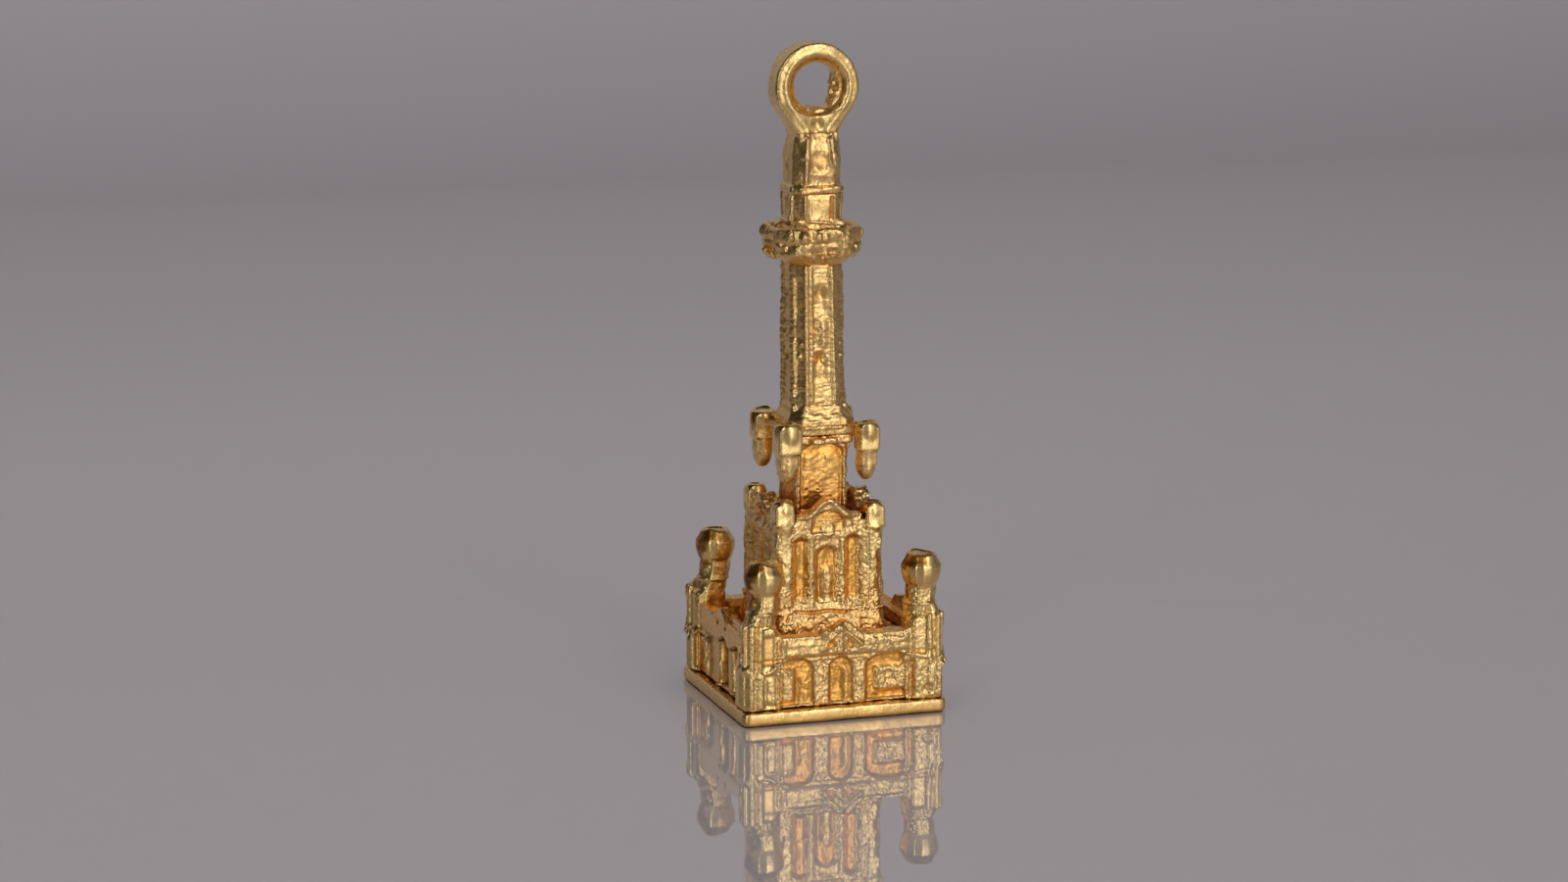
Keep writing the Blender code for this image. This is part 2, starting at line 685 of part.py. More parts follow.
def dome_cap():
    """The domed roof over a drip rim, with a spigot below and a slot for the bail's stem above."""
    rim = DRUM_TOP_Z + SOLDER_GAP
    dome = chamfered_stack(
        "dome",
        [
            (rim, DOME_RIM_HALF - 0.02, DRUM_CUT),
            (rim + 0.1, DOME_RIM_HALF, DRUM_CUT),
            (rim + 0.26, DOME_RIM_HALF - 0.03, DRUM_CUT),
            (rim + 0.34, DOME_HALF - 0.02, DRUM_CUT),
            (DOME_TOP_Z - 1.3, DOME_HALF, DRUM_CUT),
            (DOME_TOP_Z - 0.7, DOME_HALF - 0.03, DRUM_CUT),
            (DOME_TOP_Z - 0.25, DOME_HALF - 0.1, DRUM_CUT),
            (DOME_TOP_Z, DOME_HALF - 0.2, DRUM_CUT),
        ],
    )
    spigot = round_pin("spigot", DOME_SPIGOT_RADIUS, DOME_SPIGOT_Z, rim + OVERLAP)
    slot = box(
        "slot",
        (-BAIL_STEM_HALF - SOLDER_GAP, -BAIL_DEPTH / 2 - SOLDER_GAP, BAIL_STEM_Z - SOLDER_GAP),
        (BAIL_STEM_HALF + SOLDER_GAP, BAIL_DEPTH / 2 + SOLDER_GAP, DOME_TOP_Z + OVERLAP),
    )
    casting("dome_cap", finished_mesh(cut(join(dome, spigot), slot)), cast)


def bail_outline():
    """The ring's outside: an arc of the circle, then straight legs down to the neck and the stem."""
    neck = Vector((BAIL_NECK_HALF, DOME_TOP_Z + SOLDER_GAP - BAIL_CENTRE_Z))
    leg = math.atan2(neck.y, neck.x) + math.acos(BAIL_OUTER_RADIUS / neck.length)
    sweep = math.pi - 2 * leg
    outline = []
    for i in range(BAIL_POINTS + 1):
        angle = leg + sweep * i / BAIL_POINTS
        outline.append(
            (BAIL_OUTER_RADIUS * math.cos(angle), BAIL_CENTRE_Z + BAIL_OUTER_RADIUS * math.sin(angle))
        )
    shoulder = DOME_TOP_Z + SOLDER_GAP
    return [
        *outline,
        (-BAIL_NECK_HALF, shoulder), (-BAIL_STEM_HALF, shoulder), (-BAIL_STEM_HALF, BAIL_STEM_Z),
        (BAIL_STEM_HALF, BAIL_STEM_Z), (BAIL_STEM_HALF, shoulder), (BAIL_NECK_HALF, shoulder),
    ]


def eye_outline():
    """The ring's eye: a circle that is drawn down a little towards the neck."""
    outline = []
    for i in range(BAIL_POINTS):
        angle = 2 * math.pi * i / BAIL_POINTS
        drop = BAIL_EYE_DROP * max(0.0, -math.sin(angle))
        outline.append(
            (BAIL_EYE_RADIUS * math.cos(angle), BAIL_CENTRE_Z + (BAIL_EYE_RADIUS + drop) * math.sin(angle))
        )
    return outline


def bail_loop():
    bail = extruded("bail", [bail_outline(), eye_outline()], -BAIL_DEPTH / 2, BAIL_DEPTH / 2)
    edge = bail.modifiers.new("Edge", "BEVEL")
    edge.width = mm(BAIL_EDGE)
    edge.segments = 2
    edge.limit_method = "ANGLE"
    edge.angle_limit = math.radians(60)
    casting("bail_loop", finished_mesh(bail), polished)


clear_scene()
charm = new_collection("tower_charm")
workshop = new_collection("workshop")
cast = new_material("cast_gold", (0.80, 0.56, 0.20), 0.38)
polished = new_material("polished_gold", (0.88, 0.66, 0.28), 0.18)

base_plate()
lower_walls()
corner_turrets()
terrace_deck()
middle_tier()
middle_posts()
upper_tier()
bracket_plate()
bartizans()
tower_shaft()
gallery()
lantern_drum()
dome_cap()
bail_loop()

bpy.data.collections.remove(workshop)
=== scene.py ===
"""Looks of the tower charm: soft cast relief, casting grain and a gold finish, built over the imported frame.

Every casting of the frame is copied, given its mouldings, fused and softened as wax would be, and grained.
Work is done in millimetres. A finished piece is scaled to metres.
"""

import math

import bmesh
import bpy
import numpy as np
from mathutils import Matrix, Vector
from mathutils.bvhtree import BVHTree


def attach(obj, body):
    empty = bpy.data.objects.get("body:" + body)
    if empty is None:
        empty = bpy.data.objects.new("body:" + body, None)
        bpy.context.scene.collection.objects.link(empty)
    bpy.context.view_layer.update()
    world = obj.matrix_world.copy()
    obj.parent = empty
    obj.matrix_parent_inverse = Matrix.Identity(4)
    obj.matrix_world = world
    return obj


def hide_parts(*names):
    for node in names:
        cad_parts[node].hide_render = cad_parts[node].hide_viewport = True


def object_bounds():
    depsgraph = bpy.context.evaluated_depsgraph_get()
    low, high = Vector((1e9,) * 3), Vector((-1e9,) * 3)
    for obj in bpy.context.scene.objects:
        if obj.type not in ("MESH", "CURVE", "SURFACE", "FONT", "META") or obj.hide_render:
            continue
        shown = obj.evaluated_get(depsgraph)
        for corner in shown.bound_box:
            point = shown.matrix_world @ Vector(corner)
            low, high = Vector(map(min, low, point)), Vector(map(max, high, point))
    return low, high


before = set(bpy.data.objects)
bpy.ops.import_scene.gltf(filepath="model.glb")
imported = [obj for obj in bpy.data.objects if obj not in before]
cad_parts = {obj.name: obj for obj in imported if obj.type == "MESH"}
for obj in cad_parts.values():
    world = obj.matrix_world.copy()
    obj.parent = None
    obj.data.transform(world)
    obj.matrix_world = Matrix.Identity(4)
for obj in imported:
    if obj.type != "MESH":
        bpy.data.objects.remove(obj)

CAD_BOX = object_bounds()
BOX_MM = [np.array(corner) * 1000 for corner in CAD_BOX]

# Fineness of the fused surfaces, in mm. Rounds of softening are given for the reference fineness.
VOXEL = 0.036
PLATE_VOXEL = 0.06
REFERENCE_VOXEL = 0.04

FRONT, RIGHT, BACK, LEFT = 0, 90, 180, 270
SIDES = (FRONT, RIGHT, BACK, LEFT)
CORNERS = ("front_left", "front_right", "back_right", "back_left")
CORNER_SIGNS = np.array([(-1, -1), (1, -1), (1, 1), (-1, 1)])

# Camera: a long lens, left of the front and a little above it. Lengths are in mm.
CAMERA_AZIMUTH = math.radians(18)
CAMERA_ELEVATION = math.radians(11)
CAMERA_DISTANCE = 166.2
CAMERA_LENS = 90
AIM_HEIGHT = 11.09
SIDE_STEP = 1.215  # the camera stands this far to the left of the line to the tower's axis
APERTURE = 90
BACKDROP_DISTANCE = 171

# The casting's sway: how far it moves along X at each height, in mm
BEND_HEIGHTS = (9.0, 12.0, 19.0, 24.2, 26.5)
BEND_SHIFTS = (0.0, 0.05, -0.06, -0.04, 0.0)


# ---------------------------------------------------------------- numbers on points


def hashed(cells, seed):
    """A repeatable value from -1 to 1 for each whole-numbered cell."""
    x, y, z = (cells[:, i].astype(np.int64) for i in range(3))
    h = ((x * 73856093) ^ (y * 19349663) ^ (z * 83492791) ^ (seed * 2654435761)) & 0xFFFFFFFF
    h = ((h ^ (h >> 15)) * 2246822519) & 0xFFFFFFFF
    h = ((h ^ (h >> 13)) * 3266489917) & 0xFFFFFFFF
    h = h ^ (h >> 16)
    return h / 2147483647.5 - 1


def noise(points, size, seed):
    """Smooth value noise from -1 to 1. size is one cell, as a number or one for each axis."""
    place = points / np.asarray(size, float) + 31.7 * (seed % 13)
    cell = np.floor(place)
    part = place - cell
    part = part * part * (3 - 2 * part)
    total = np.zeros(len(points))
    for corner in range(8):
        step = np.array([corner & 1, corner >> 1 & 1, corner >> 2 & 1])
        weight = np.prod(np.where(step, part, 1 - part), axis=1)
        total += weight * hashed(cell + step, seed)
    return total


def ramp(values, low, high):
    """0 below low, 1 above high, and an S-curve between them."""
    t = np.clip((values - low) / (high - low), 0, 1)
    return t * t * (3 - 2 * t)


def patch(u, z, left, right, low, high, soft=0.07):
    """1 inside a rectangle and 0 outside it, with soft edges."""
    across = ramp(u, left - soft, left + soft) * ramp(-u, -right - soft, -right + soft)
    return across * ramp(z, low - soft, low + soft) * ramp(-z, -high - soft, -high + soft)


def arched(u, z, centre, half, sill, crown, rise, soft=0.07):
    """1 inside a window outline with an elliptical head."""
    above = np.maximum(z - crown + rise, 0) / rise * half
    return ramp(half - np.hypot(u - centre, above), -soft, soft) * ramp(z, sill - soft, sill + soft)


def spot(u, z, centre, level, radius, soft=0.08):
    """1 inside a round spot with a soft edge."""
    return ramp(radius - np.hypot(u - centre, z - level), -soft, soft)


def ridge(u, z, line, width):
    """1 on a chain of straight lines, falling off smoothly on both sides."""
    nearest = np.full(len(u), 9.0)
    for (u0, z0), (u1, z1) in zip(line, line[1:]):
        length = (u1 - u0) ** 2 + (z1 - z0) ** 2
        t = np.clip(((u - u0) * (u1 - u0) + (z - z0) * (z1 - z0)) / length, 0, 1)
        nearest = np.minimum(nearest, np.hypot(u - u0 - t * (u1 - u0), z - z0 - t * (z1 - z0)))
    return np.exp(-((nearest / width) ** 2))


# Cosines between which a relief fades in, so narrow that it stays on one facet of an octagon
ONE_FACET = (0.8, 0.93)


def on_sides(points, normals, painters, turn=0, facing_from=0.45, facing_to=0.8):
    """Heights of the reliefs on the four sides. painters has one function of (u, z) for each side."""
    total = np.zeros(len(points))
    for side, painter in zip(SIDES, painters):
        angle = math.radians(side + turn)
        sin, cos = math.sin(angle), math.cos(angle)
        facing = ramp(normals[:, 0] * sin - normals[:, 1] * cos, facing_from, facing_to)
        seen = facing > 0
        u = points[seen, 0] * cos + points[seen, 1] * sin
        total[seen] += facing[seen] * painter(u, points[seen, 2])
    return total


class Surface:
    """A mesh's points and edges as arrays, with the sums over neighbours that softening needs."""

    def __init__(self, mesh):
        self.mesh = mesh
        count = len(mesh.vertices)
        self.points = np.empty(count * 3, np.float32)
        mesh.vertices.foreach_get("co", self.points)
        self.points = self.points.reshape(-1, 3).astype(float)
        self.edges = np.empty(len(mesh.edges) * 2, np.int32)
        mesh.edges.foreach_get("vertices", self.edges)
        self.edges = self.edges.reshape(-1, 2)
        self.degree = np.bincount(self.edges.ravel(), minlength=count).astype(float)

    def averaged(self, values):
        """Each point's value replaced by the mean of its neighbours'."""
        a, b = self.edges[:, 0], self.edges[:, 1]
        if values.ndim == 1:
            total = np.bincount(a, values[b], len(values)) + np.bincount(b, values[a], len(values))
            return total / self.degree
        return np.column_stack([self.averaged(values[:, i]) for i in range(values.shape[1])])

    def relaxed(self, values, rounds, amount=0.5):
        """Values moved step by step towards their neighbours' mean."""
        for _ in range(rounds):
            values = values + amount * (self.averaged(values) - values)
        return values

    def store(self):
        self.mesh.vertices.foreach_set("co", self.points.astype(np.float32).ravel())
        self.mesh.update()

    def normals(self):
        """The vertex normals at the current points."""
        self.store()
        flat = np.empty(len(self.points) * 3, np.float32)
        self.mesh.vertex_normals.foreach_get("vector", flat)
        return flat.reshape(-1, 3).astype(float)

    def attribute(self, name, values):
        layer = self.mesh.attributes.new(name, "FLOAT", "POINT")
        layer.data.foreach_set("value", values.astype(np.float32))


# ---------------------------------------------------------------- wax: closed shapes that get fused


def template(maker, **settings):
    """A unit shape as an array of points and a list of faces."""
    shape = bmesh.new()
    maker(shape, **settings)
    points = np.array([v.co for v in shape.verts])
    faces = [[v.index for v in f.verts] for f in shape.faces]
    shape.free()
    return points, faces


BLOCK = template(bmesh.ops.create_cube, size=1)
BEAD = template(bmesh.ops.create_icosphere, subdivisions=2, radius=1)
ROD = template(bmesh.ops.create_cone, cap_ends=True, segments=10, radius1=1, radius2=1, depth=1)


class Wax:
    """Closed shapes in millimetres that get fused into one casting. A turn is about the tower's axis."""

    def __init__(self, *nodes):
        """Starts from the frame's solids of the given names."""
        self.points, self.faces, self.count = [], [], 0
        for node in nodes:
            shape = bmesh.new()
            shape.from_mesh(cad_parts[node].data)
            bmesh.ops.remove_doubles(shape, verts=shape.verts, dist=1e-7)
            shape.verts.index_update()
            points = np.array([v.co for v in shape.verts])
            self.add((points, [[v.index for v in f.verts] for f in shape.faces]), Matrix.Scale(1000, 4))
            shape.free()

    def add(self, shape, place, turn=0):
        points, faces = shape
        matrix = np.array(Matrix.Rotation(math.radians(turn), 4, "Z") @ place)
        self.points.append(points @ matrix[:3, :3].T + matrix[:3, 3])
        self.faces.extend([i + self.count for i in face] for face in faces)
        self.count += len(points)

    def block(self, low, high, turn=0, tilt=0):
        """A box between two corners, tilted about its own middle in the wall's plane."""
        size = Vector(high) - Vector(low)
        middle = Matrix.Translation((Vector(high) + Vector(low)) / 2)
        lean = Matrix.Rotation(math.radians(tilt), 4, "Y")
        self.add(BLOCK, middle @ lean @ Matrix.Diagonal((*size, 1)), turn)

    def bead(self, centre, radii, turn=0):
        """An ellipsoid with one radius for each axis."""
        self.add(BEAD, Matrix.Translation(centre) @ Matrix.Diagonal((*radii, 1)), turn)

    def rod(self, start, end, radius, turn=0):
        """A round rod between two points, with round ends so that chains of rods join up."""
        start, end = Vector(start), Vector(end)
        along = end - start
        tilt = along.to_track_quat("Z", "Y").to_matrix().to_4x4()
        scale = Matrix.Diagonal((radius, radius, along.length, 1))
        self.add(ROD, Matrix.Translation((start + end) / 2) @ tilt @ scale, turn)
        self.bead(start, (radius,) * 3, turn)
        self.bead(end, (radius,) * 3, turn)

    def moulding(self, line, face, radius, turn=0):
        """A chain of rods along (x, z) points on a wall whose face is at y = -face before the turn."""
        for (x0, z0), (x1, z1) in zip(line, line[1:]):
            self.rod((x0, -face, z0), (x1, -face, z1), radius, turn)


def arch_line(centre, half, sill, crown, rise, steps=10):
    """A window's outline from one sill corner over the head to the other."""
    head = [
        (centre + half * math.cos(math.pi * i / steps), crown - rise + rise * math.sin(math.pi * i / steps))
        for i in range(steps + 1)
    ]
    return [(centre + half, sill), *head, (centre - half, sill)]


def ogee_line(half, eaves, crown, steps=14, reach=0.0):
    """The bell curve of a gable, with level shoulders of the given reach."""
    line = []
    for i in range(steps + 1):
        x = half * (2 * i / steps - 1)
        line.append((x, eaves + (crown - eaves) * (0.5 + 0.5 * math.cos(math.pi * x / half)) ** 0.8))
    if reach:
        line = [(-half - reach, eaves), *line, (half + reach, eaves)]
    return line


def fused(wax, voxel):
    """The wax as one closed skin."""
    mesh = bpy.data.meshes.new("wax")
    mesh.from_pydata(np.concatenate(wax.points), [], wax.faces)
    holder = bpy.data.objects.new("wax", mesh)
    bpy.context.scene.collection.objects.link(holder)
    remesh = holder.modifiers.new("Fuse", "REMESH")
    remesh.mode = "VOXEL"
    remesh.voxel_size = voxel
    graph = bpy.context.evaluated_depsgraph_get()
    skin = bpy.data.meshes.new_from_object(holder.evaluated_get(graph))
    bpy.data.objects.remove(holder)
    bpy.data.meshes.remove(mesh)
    return skin


# ---------------------------------------------------------------- casting: softening, lumps, grain


def build_shadow_tree():
    """The whole frame as one tree of triangles, in millimetres, for finding sheltered places."""
    verts, faces = [], []
    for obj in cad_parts.values():
        first = len(verts)
        verts.extend(v.co * 1000 for v in obj.data.vertices)
        faces.extend([i + first for i in p.vertices] for p in obj.data.polygons)
    floor = len(verts)
    verts.extend(Vector(p) for p in ((-60, -60, -0.01), (60, -60, -0.01), (60, 60, -0.01), (-60, 60, -0.01)))
    faces.append([floor, floor + 1, floor + 2, floor + 3])
    return BVHTree.FromPolygons(verts, faces)


def even_directions(count):
    """Unit vectors spread evenly over the ball, along a spiral that steps by the golden angle."""
    golden_angle = 2.39996
    directions = []
    for i in range(count):
        z = 1 - (2 * i + 1) / count
        reach = math.sqrt(1 - z * z)
        directions.append(Vector((math.cos(i * golden_angle) * reach, math.sin(i * golden_angle) * reach, z)))
    return directions


SHADOWS = build_shadow_tree()
SKY = even_directions(40)
SHELTER_CELL = 0.16  # points in one cell that face the same way share one answer
SHELTER_REACH = 1.6
SHELTER_LIFT = 0.12  # rays start this far above the surface
GRAZING = 0.12  # rays that leave at less than this cosine are left out


def openness(surface, normals):
    """How much of the sky each point sees within SHELTER_REACH, from 0 (deep recess) to 1."""
    cells = np.floor(surface.points / SHELTER_CELL).astype(np.int64)
    axis = np.argmax(np.abs(normals), axis=1)
    facing = axis * 2 + (normals[np.arange(len(normals)), axis] > 0)
    keys = np.column_stack([cells, facing])
    _, index = np.unique(keys, axis=0, return_inverse=True)
    index = index.ravel()
    share = np.bincount(index).astype(float)
    centre = np.column_stack([np.bincount(index, surface.points[:, i]) / share for i in range(3)])
    normal = np.column_stack([np.bincount(index, normals[:, i]) for i in range(3)])
    normal /= np.maximum(np.linalg.norm(normal, axis=1), 1e-9)[:, None]
    seen = np.empty(len(centre))
    for cell, (point, direction) in enumerate(zip(centre, normal)):
        direction = Vector(direction)
        start = Vector(point) + direction * SHELTER_LIFT
        free = total = 0.0
        for ray in SKY:
            weight = ray.dot(direction)
            if weight > GRAZING:
                total += weight
                if SHADOWS.ray_cast(start, ray, SHELTER_REACH)[0] is None:
                    free += weight
        seen[cell] = free / total
    return surface.relaxed(seen[index], 8)


CREASE_DEPTH = 0.02  # a dent this deep, in mm, counts as a crease of 1
SUNK_FROM, SUNK_TO = 0.02, 0.11  # relief depths, in mm, between which a recess is painted orange, as painted shade and reflection of gold on gold


def wrinkles(points, size, seed):
    """Fine winding ridges and pebbles, from about -1 to 1."""
    size = np.asarray(size, float)
    warp = np.column_stack([noise(points, size.max() * 2.2, seed + i) for i in range(3)])
    warped = points + 0.55 * size * warp
    folds = 1 - 2.6 * np.abs(noise(warped, size, seed + 3))
    pebbles = noise(warped, 0.62 * size, seed + 4)
    return 0.65 * folds + 0.6 * pebbles


def bent(points):
    """The tower sways a little along X between the bracket and the lantern, as the casting does."""
    points = points.copy()
    points[:, 0] += np.interp(points[:, 2], BEND_HEIGHTS, BEND_SHIFTS)
    return points


def cast_piece(name, nodes, wax, material, voxel=VOXEL, soften=4, wobble=0.03, lumps=0.02, grain=0.014,
               grain_size=(0.135, 0.135, 0.12), swell=0.015, smooth_where=None, relief=None, move=None,
               seed=1):
    """Fuses, softens and grains a wax, and makes it the piece that stands for its nodes.

    wobble, lumps and grain are heights in mm of three sizes of unevenness. smooth_where(points) gives 1
    where the casting was polished. relief(points, normals) gives offsets in mm along the normals.
    """
    surface = Surface(fused(wax, voxel))
    per_round = (REFERENCE_VOXEL / voxel) ** 2
    surface.points = surface.relaxed(surface.points, max(1, round(soften * per_round)))
    normals = surface.normals()
    points = surface.points.copy()
    rough = 1 - smooth_where(points) if smooth_where else np.ones(len(points))
    painted = relief(points, normals) if relief else np.zeros(len(points))
    # Recess mask from the relief's depth: it thins the grain, and it paints recesses orange as painted shade
    # and reflection.
    sunk = ramp(-painted, SUNK_FROM, SUNK_TO)
    offset = swell + painted + wobble * noise(points, 1.3, seed) * (0.4 + 0.6 * rough)
    offset += lumps * rough * (noise(points, 0.42, seed + 1) + 0.6 * noise(points, 0.27, seed + 2))
    patchy = 0.75 + 0.45 * noise(points, 0.8, seed + 5)
    offset += grain * rough * patchy * (1 - 0.6 * sunk) * wrinkles(points, grain_size, seed + 6)
    surface.points = surface.points + normals * offset[:, None]
    if move:
        surface.points = move(surface.points)
    surface.points = bent(surface.points)
    surface.points = np.clip(surface.points, *BOX_MM)
    normals = surface.normals()
    # crease, open and sunk drive the material's painted shade, painted reflection and painted highlight.
    near = surface.relaxed(surface.points, round(6 * per_round))
    crease = np.einsum("ij,ij->i", near - surface.points, normals) / CREASE_DEPTH
    surface.attribute("crease", np.clip(crease, -2, 2))
    surface.attribute("open", openness(surface, normals))
    surface.attribute("polish", 1 - rough)
    surface.attribute("sunk", surface.relaxed(sunk, 3))
    surface.points = surface.points / 1000
    surface.store()
    mesh = surface.mesh
    mesh.shade_smooth()
    mesh.materials.clear()
    mesh.materials.append(material)
    piece = bpy.data.objects.new(name, mesh)
    bpy.context.scene.collection.objects.link(piece)
    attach(piece, "root")
    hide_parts(*nodes)
    return piece


# ---------------------------------------------------------------- materials


# Colours painted over the gold: painted shade in creases, grime with painted shade in the most sheltered
# places, and a painted highlight on edges.
CREASE_SHADE_COLOUR = (0.48, 0.20, 0.035)
GRIME_AND_SHADE_COLOUR = (0.20, 0.075, 0.015)
EDGE_HIGHLIGHT_COLOUR = (1.0, 0.75, 0.40)


def map_range(tree, value, low, high, to_low, to_high, interpolation="LINEAR"):
    """A node that maps low..high to to_low..to_high and holds the ends."""
    made = tree.nodes.new("ShaderNodeMapRange")
    for key, setting in (("From Min", low), ("From Max", high), ("To Min", to_low), ("To Max", to_high)):
        made.inputs[key].default_value = setting
    made.interpolation_type = interpolation
    tree.links.new(value, made.inputs["Value"])
    return made.outputs["Result"]


def gold(name, bright, deep, rough_low, rough_high):
    """Gold alloy with painted light: a painted highlight on convex edges, painted shade and reflection that
    deepen the colour in recesses and creases, and grime with painted shade, brown, in the tightest corners.
    """
    material = bpy.data.materials.new(name)
    material.use_nodes = True
    tree = material.node_tree
    shader = tree.nodes["Principled BSDF"]
    shader.inputs["Metallic"].default_value = 1.0

    def node(kind, **settings):
        made = tree.nodes.new(kind)
        for key, value in settings.items():
            setattr(made, key, value)
        return made

    def attribute(key):
        return node("ShaderNodeAttribute", attribute_name=key).outputs["Fac"]

    def grain(scale, detail):
        place = node("ShaderNodeTexCoord").outputs["Object"]
        made = node("ShaderNodeTexNoise")
        made.inputs["Scale"].default_value = scale
        made.inputs["Detail"].default_value = detail
        tree.links.new(place, made.inputs["Vector"])
        return made.outputs["Fac"]

    def curve(value, low, high, to_low=0.0, to_high=1.0):
        return map_range(tree, value, low, high, to_low, to_high)

    def mix(share, a, b):
        made = node("ShaderNodeMix", data_type="RGBA")
        tree.links.new(share, made.inputs["Factor"])
        for socket, colour in ((made.inputs["A"], a), (made.inputs["B"], b)):
            if isinstance(colour, tuple):
                socket.default_value = (*colour, 1)
            else:
                tree.links.new(colour, socket)
        return made.outputs["Result"]

    def maths(operation, a, b):
        made = node("ShaderNodeMath", operation=operation)
        for socket, value in zip(made.inputs, (a, b)):
            if isinstance(value, (int, float)):
                socket.default_value = value
            else:
                tree.links.new(value, socket)
        return made.outputs["Value"]

    # Painted shade and reflection: places that see little sky take the deep colour.
    colour = mix(curve(attribute("open"), 0.25, 0.8), deep, bright)
    patches = curve(grain(1400, 3), 0.35, 0.7, 0.0, 0.35)
    colour = mix(patches, colour, tuple(0.8 * b + 0.2 * d for b, d in zip(bright, deep)))
    # Painted shade and reflection: the relief's recesses take the deep colour.
    colour = mix(maths("MULTIPLY", attribute("sunk"), 0.75), colour, deep)
    # Painted shade: concave creases are darkened towards a brown orange.
    creases = maths("MULTIPLY", curve(attribute("crease"), 0.4, 1.8), 0.4)
    colour = mix(creases, colour, CREASE_SHADE_COLOUR)
    # Grime with painted shade: the places that see the least sky go dark brown, in spots.
    spotty = curve(grain(2600, 4), 0.35, 0.65, 0.35, 1.0)
    colour = mix(maths("MULTIPLY", curve(attribute("open"), 0.45, 0.1), spotty), colour, GRIME_AND_SHADE_COLOUR)
    # Painted highlight: convex edges and ridges are paled towards cream.
    edges = curve(attribute("crease"), -0.15, -1.1, 0.0, 0.6)
    colour = mix(edges, colour, EDGE_HIGHLIGHT_COLOUR)
    tree.links.new(colour, shader.inputs["Base Color"])

    unevenness = curve(grain(5200, 4), 0.3, 0.7, rough_low, rough_high)
    shelter = curve(attribute("open"), 0.2, 0.8, 0.12, 0.0)
    shine = curve(attribute("polish"), 0.0, 1.0, 0.0, -0.06)
    roughness = maths("ADD", maths("ADD", unevenness, shelter), shine)
    tree.links.new(roughness, shader.inputs["Roughness"])

    bump = node("ShaderNodeBump")
    bump.inputs["Strength"].default_value = 0.35
    bump.inputs["Distance"].default_value = 0.00002
    tree.links.new(grain(14000, 3), bump.inputs["Height"])
    tree.links.new(bump.outputs["Normal"], shader.inputs["Normal"])
    return material


CAST = gold("cast_gold", (0.95, 0.635, 0.25), (0.90, 0.41, 0.06), 0.22, 0.38)
POLISHED = gold("polished_gold", (0.94, 0.665, 0.27), (0.88, 0.42, 0.065), 0.21, 0.37)


# ---------------------------------------------------------------- the castings


def make_base_plate():
    """A plate with filed sides, an uneven top edge and a few runs of solder on its left side."""
    wax = Wax("base_plate")
    for y, length in ((-1.6, 0.16), (-2.1, 0.2), (-2.3, 0.12), (-3.1, 0.2), (-0.5, 0.14)):
        wax.rod((-4.47, y, 0.56), (-4.47, y - 0.04, 0.56 - length), 0.04)

    def relief(points, normals):
        side = ramp(-normals[:, 0], 0.6, 0.9)
        filed = 0.012 * side * noise(points + 0.3 * points[:, [2, 2, 2]], (1, 0.05, 0.4), 91)
        top = ramp(normals[:, 2], 0.2, 0.8) * ramp(points[:, 2], 0.5, 0.62)
        return filed + 0.02 * top * noise(points, 0.25, 93)

    cast_piece("base_plate_cast", ["base_plate"], wax, POLISHED, voxel=PLATE_VOXEL,
               soften=10, wobble=0.02, lumps=0.015, grain=0.008, swell=-0.02, relief=relief,
               smooth_where=lambda p: np.full(len(p), 0.35), seed=11)


def front_canvas(u, z):
    """Lower tier's front: a bay of two lights, a door, a bay with a raised panel, and the gable over them."""
    h = -0.14 * arched(u, z, -2.09, 0.72, 0.75, 2.72, 0.35, 0.1)
    h += 0.15 * patch(u, z, -2.74, -2.16, 0.9, 2.3, 0.13) + 0.05 * patch(u, z, -1.95, -1.5, 0.7, 2.0, 0.14)
    h -= 0.15 * arched(u, z, -0.13, 0.5, 0.75, 2.66, 0.42, 0.1)
    h += 0.07 * patch(u, z, 0.0, 0.3, 0.75, 2.2, 0.14)
    h -= 0.14 * arched(u, z, 2.02, 1.02, 0.75, 2.68, 0.42, 0.11)
    h += 0.15 * patch(u, z, 1.45, 2.8, 1.1, 2.1, 0.15) - 0.05 * arched(u, z, 2.0, 0.17, 1.4, 1.95, 0.17)
    h -= 0.07 * patch(u, z, -3.55, -2.9, 0.75, 2.2, 0.12) - 0.07 * patch(u, z, -3.45, -3.05, 0.9, 2.0, 0.1)
    h -= 0.06 * patch(u, z, -3.62, -2.75, 2.5, 3.8, 0.12)
    h -= 0.06 * spot(u, z, 3.66, 1.1, 0.2)
    h += 0.07 * ridge(u, z, [(-4.0, 2.12), (-3.3, 2.3), (-2.7, 2.78)], 0.07)
    h += 0.06 * ridge(u, z, [(1.0, 2.6), (1.5, 2.78), (2.4, 2.78), (3.0, 2.6), (3.7, 2.45)], 0.08)
    h += 0.07 * patch(u, z, -2.6, 2.75, 2.86, 3.42, 0.1) - 0.05 * patch(u, z, -4, 4, 2.66, 2.8, 0.05)
    h += 0.05 * patch(u, z, -1.3, -0.66, 0.6, 2.3) + 0.05 * patch(u, z, 0.42, 0.95, 0.6, 2.3)
    h += 0.12 * ridge(u, z, [(-0.95, 3.1), (-0.2, 4.0), (0.7, 3.25)], 0.13)
    h += 0.1 * ridge(u, z, [(-0.16, 3.9), (-0.2, 2.95)], 0.13) + 0.12 * spot(u, z, -0.85, 3.75, 0.12)
    return h - 0.15 * (spot(u, z, -0.6, 3.28, 0.19) + spot(u, z, 0.32, 3.28, 0.19))


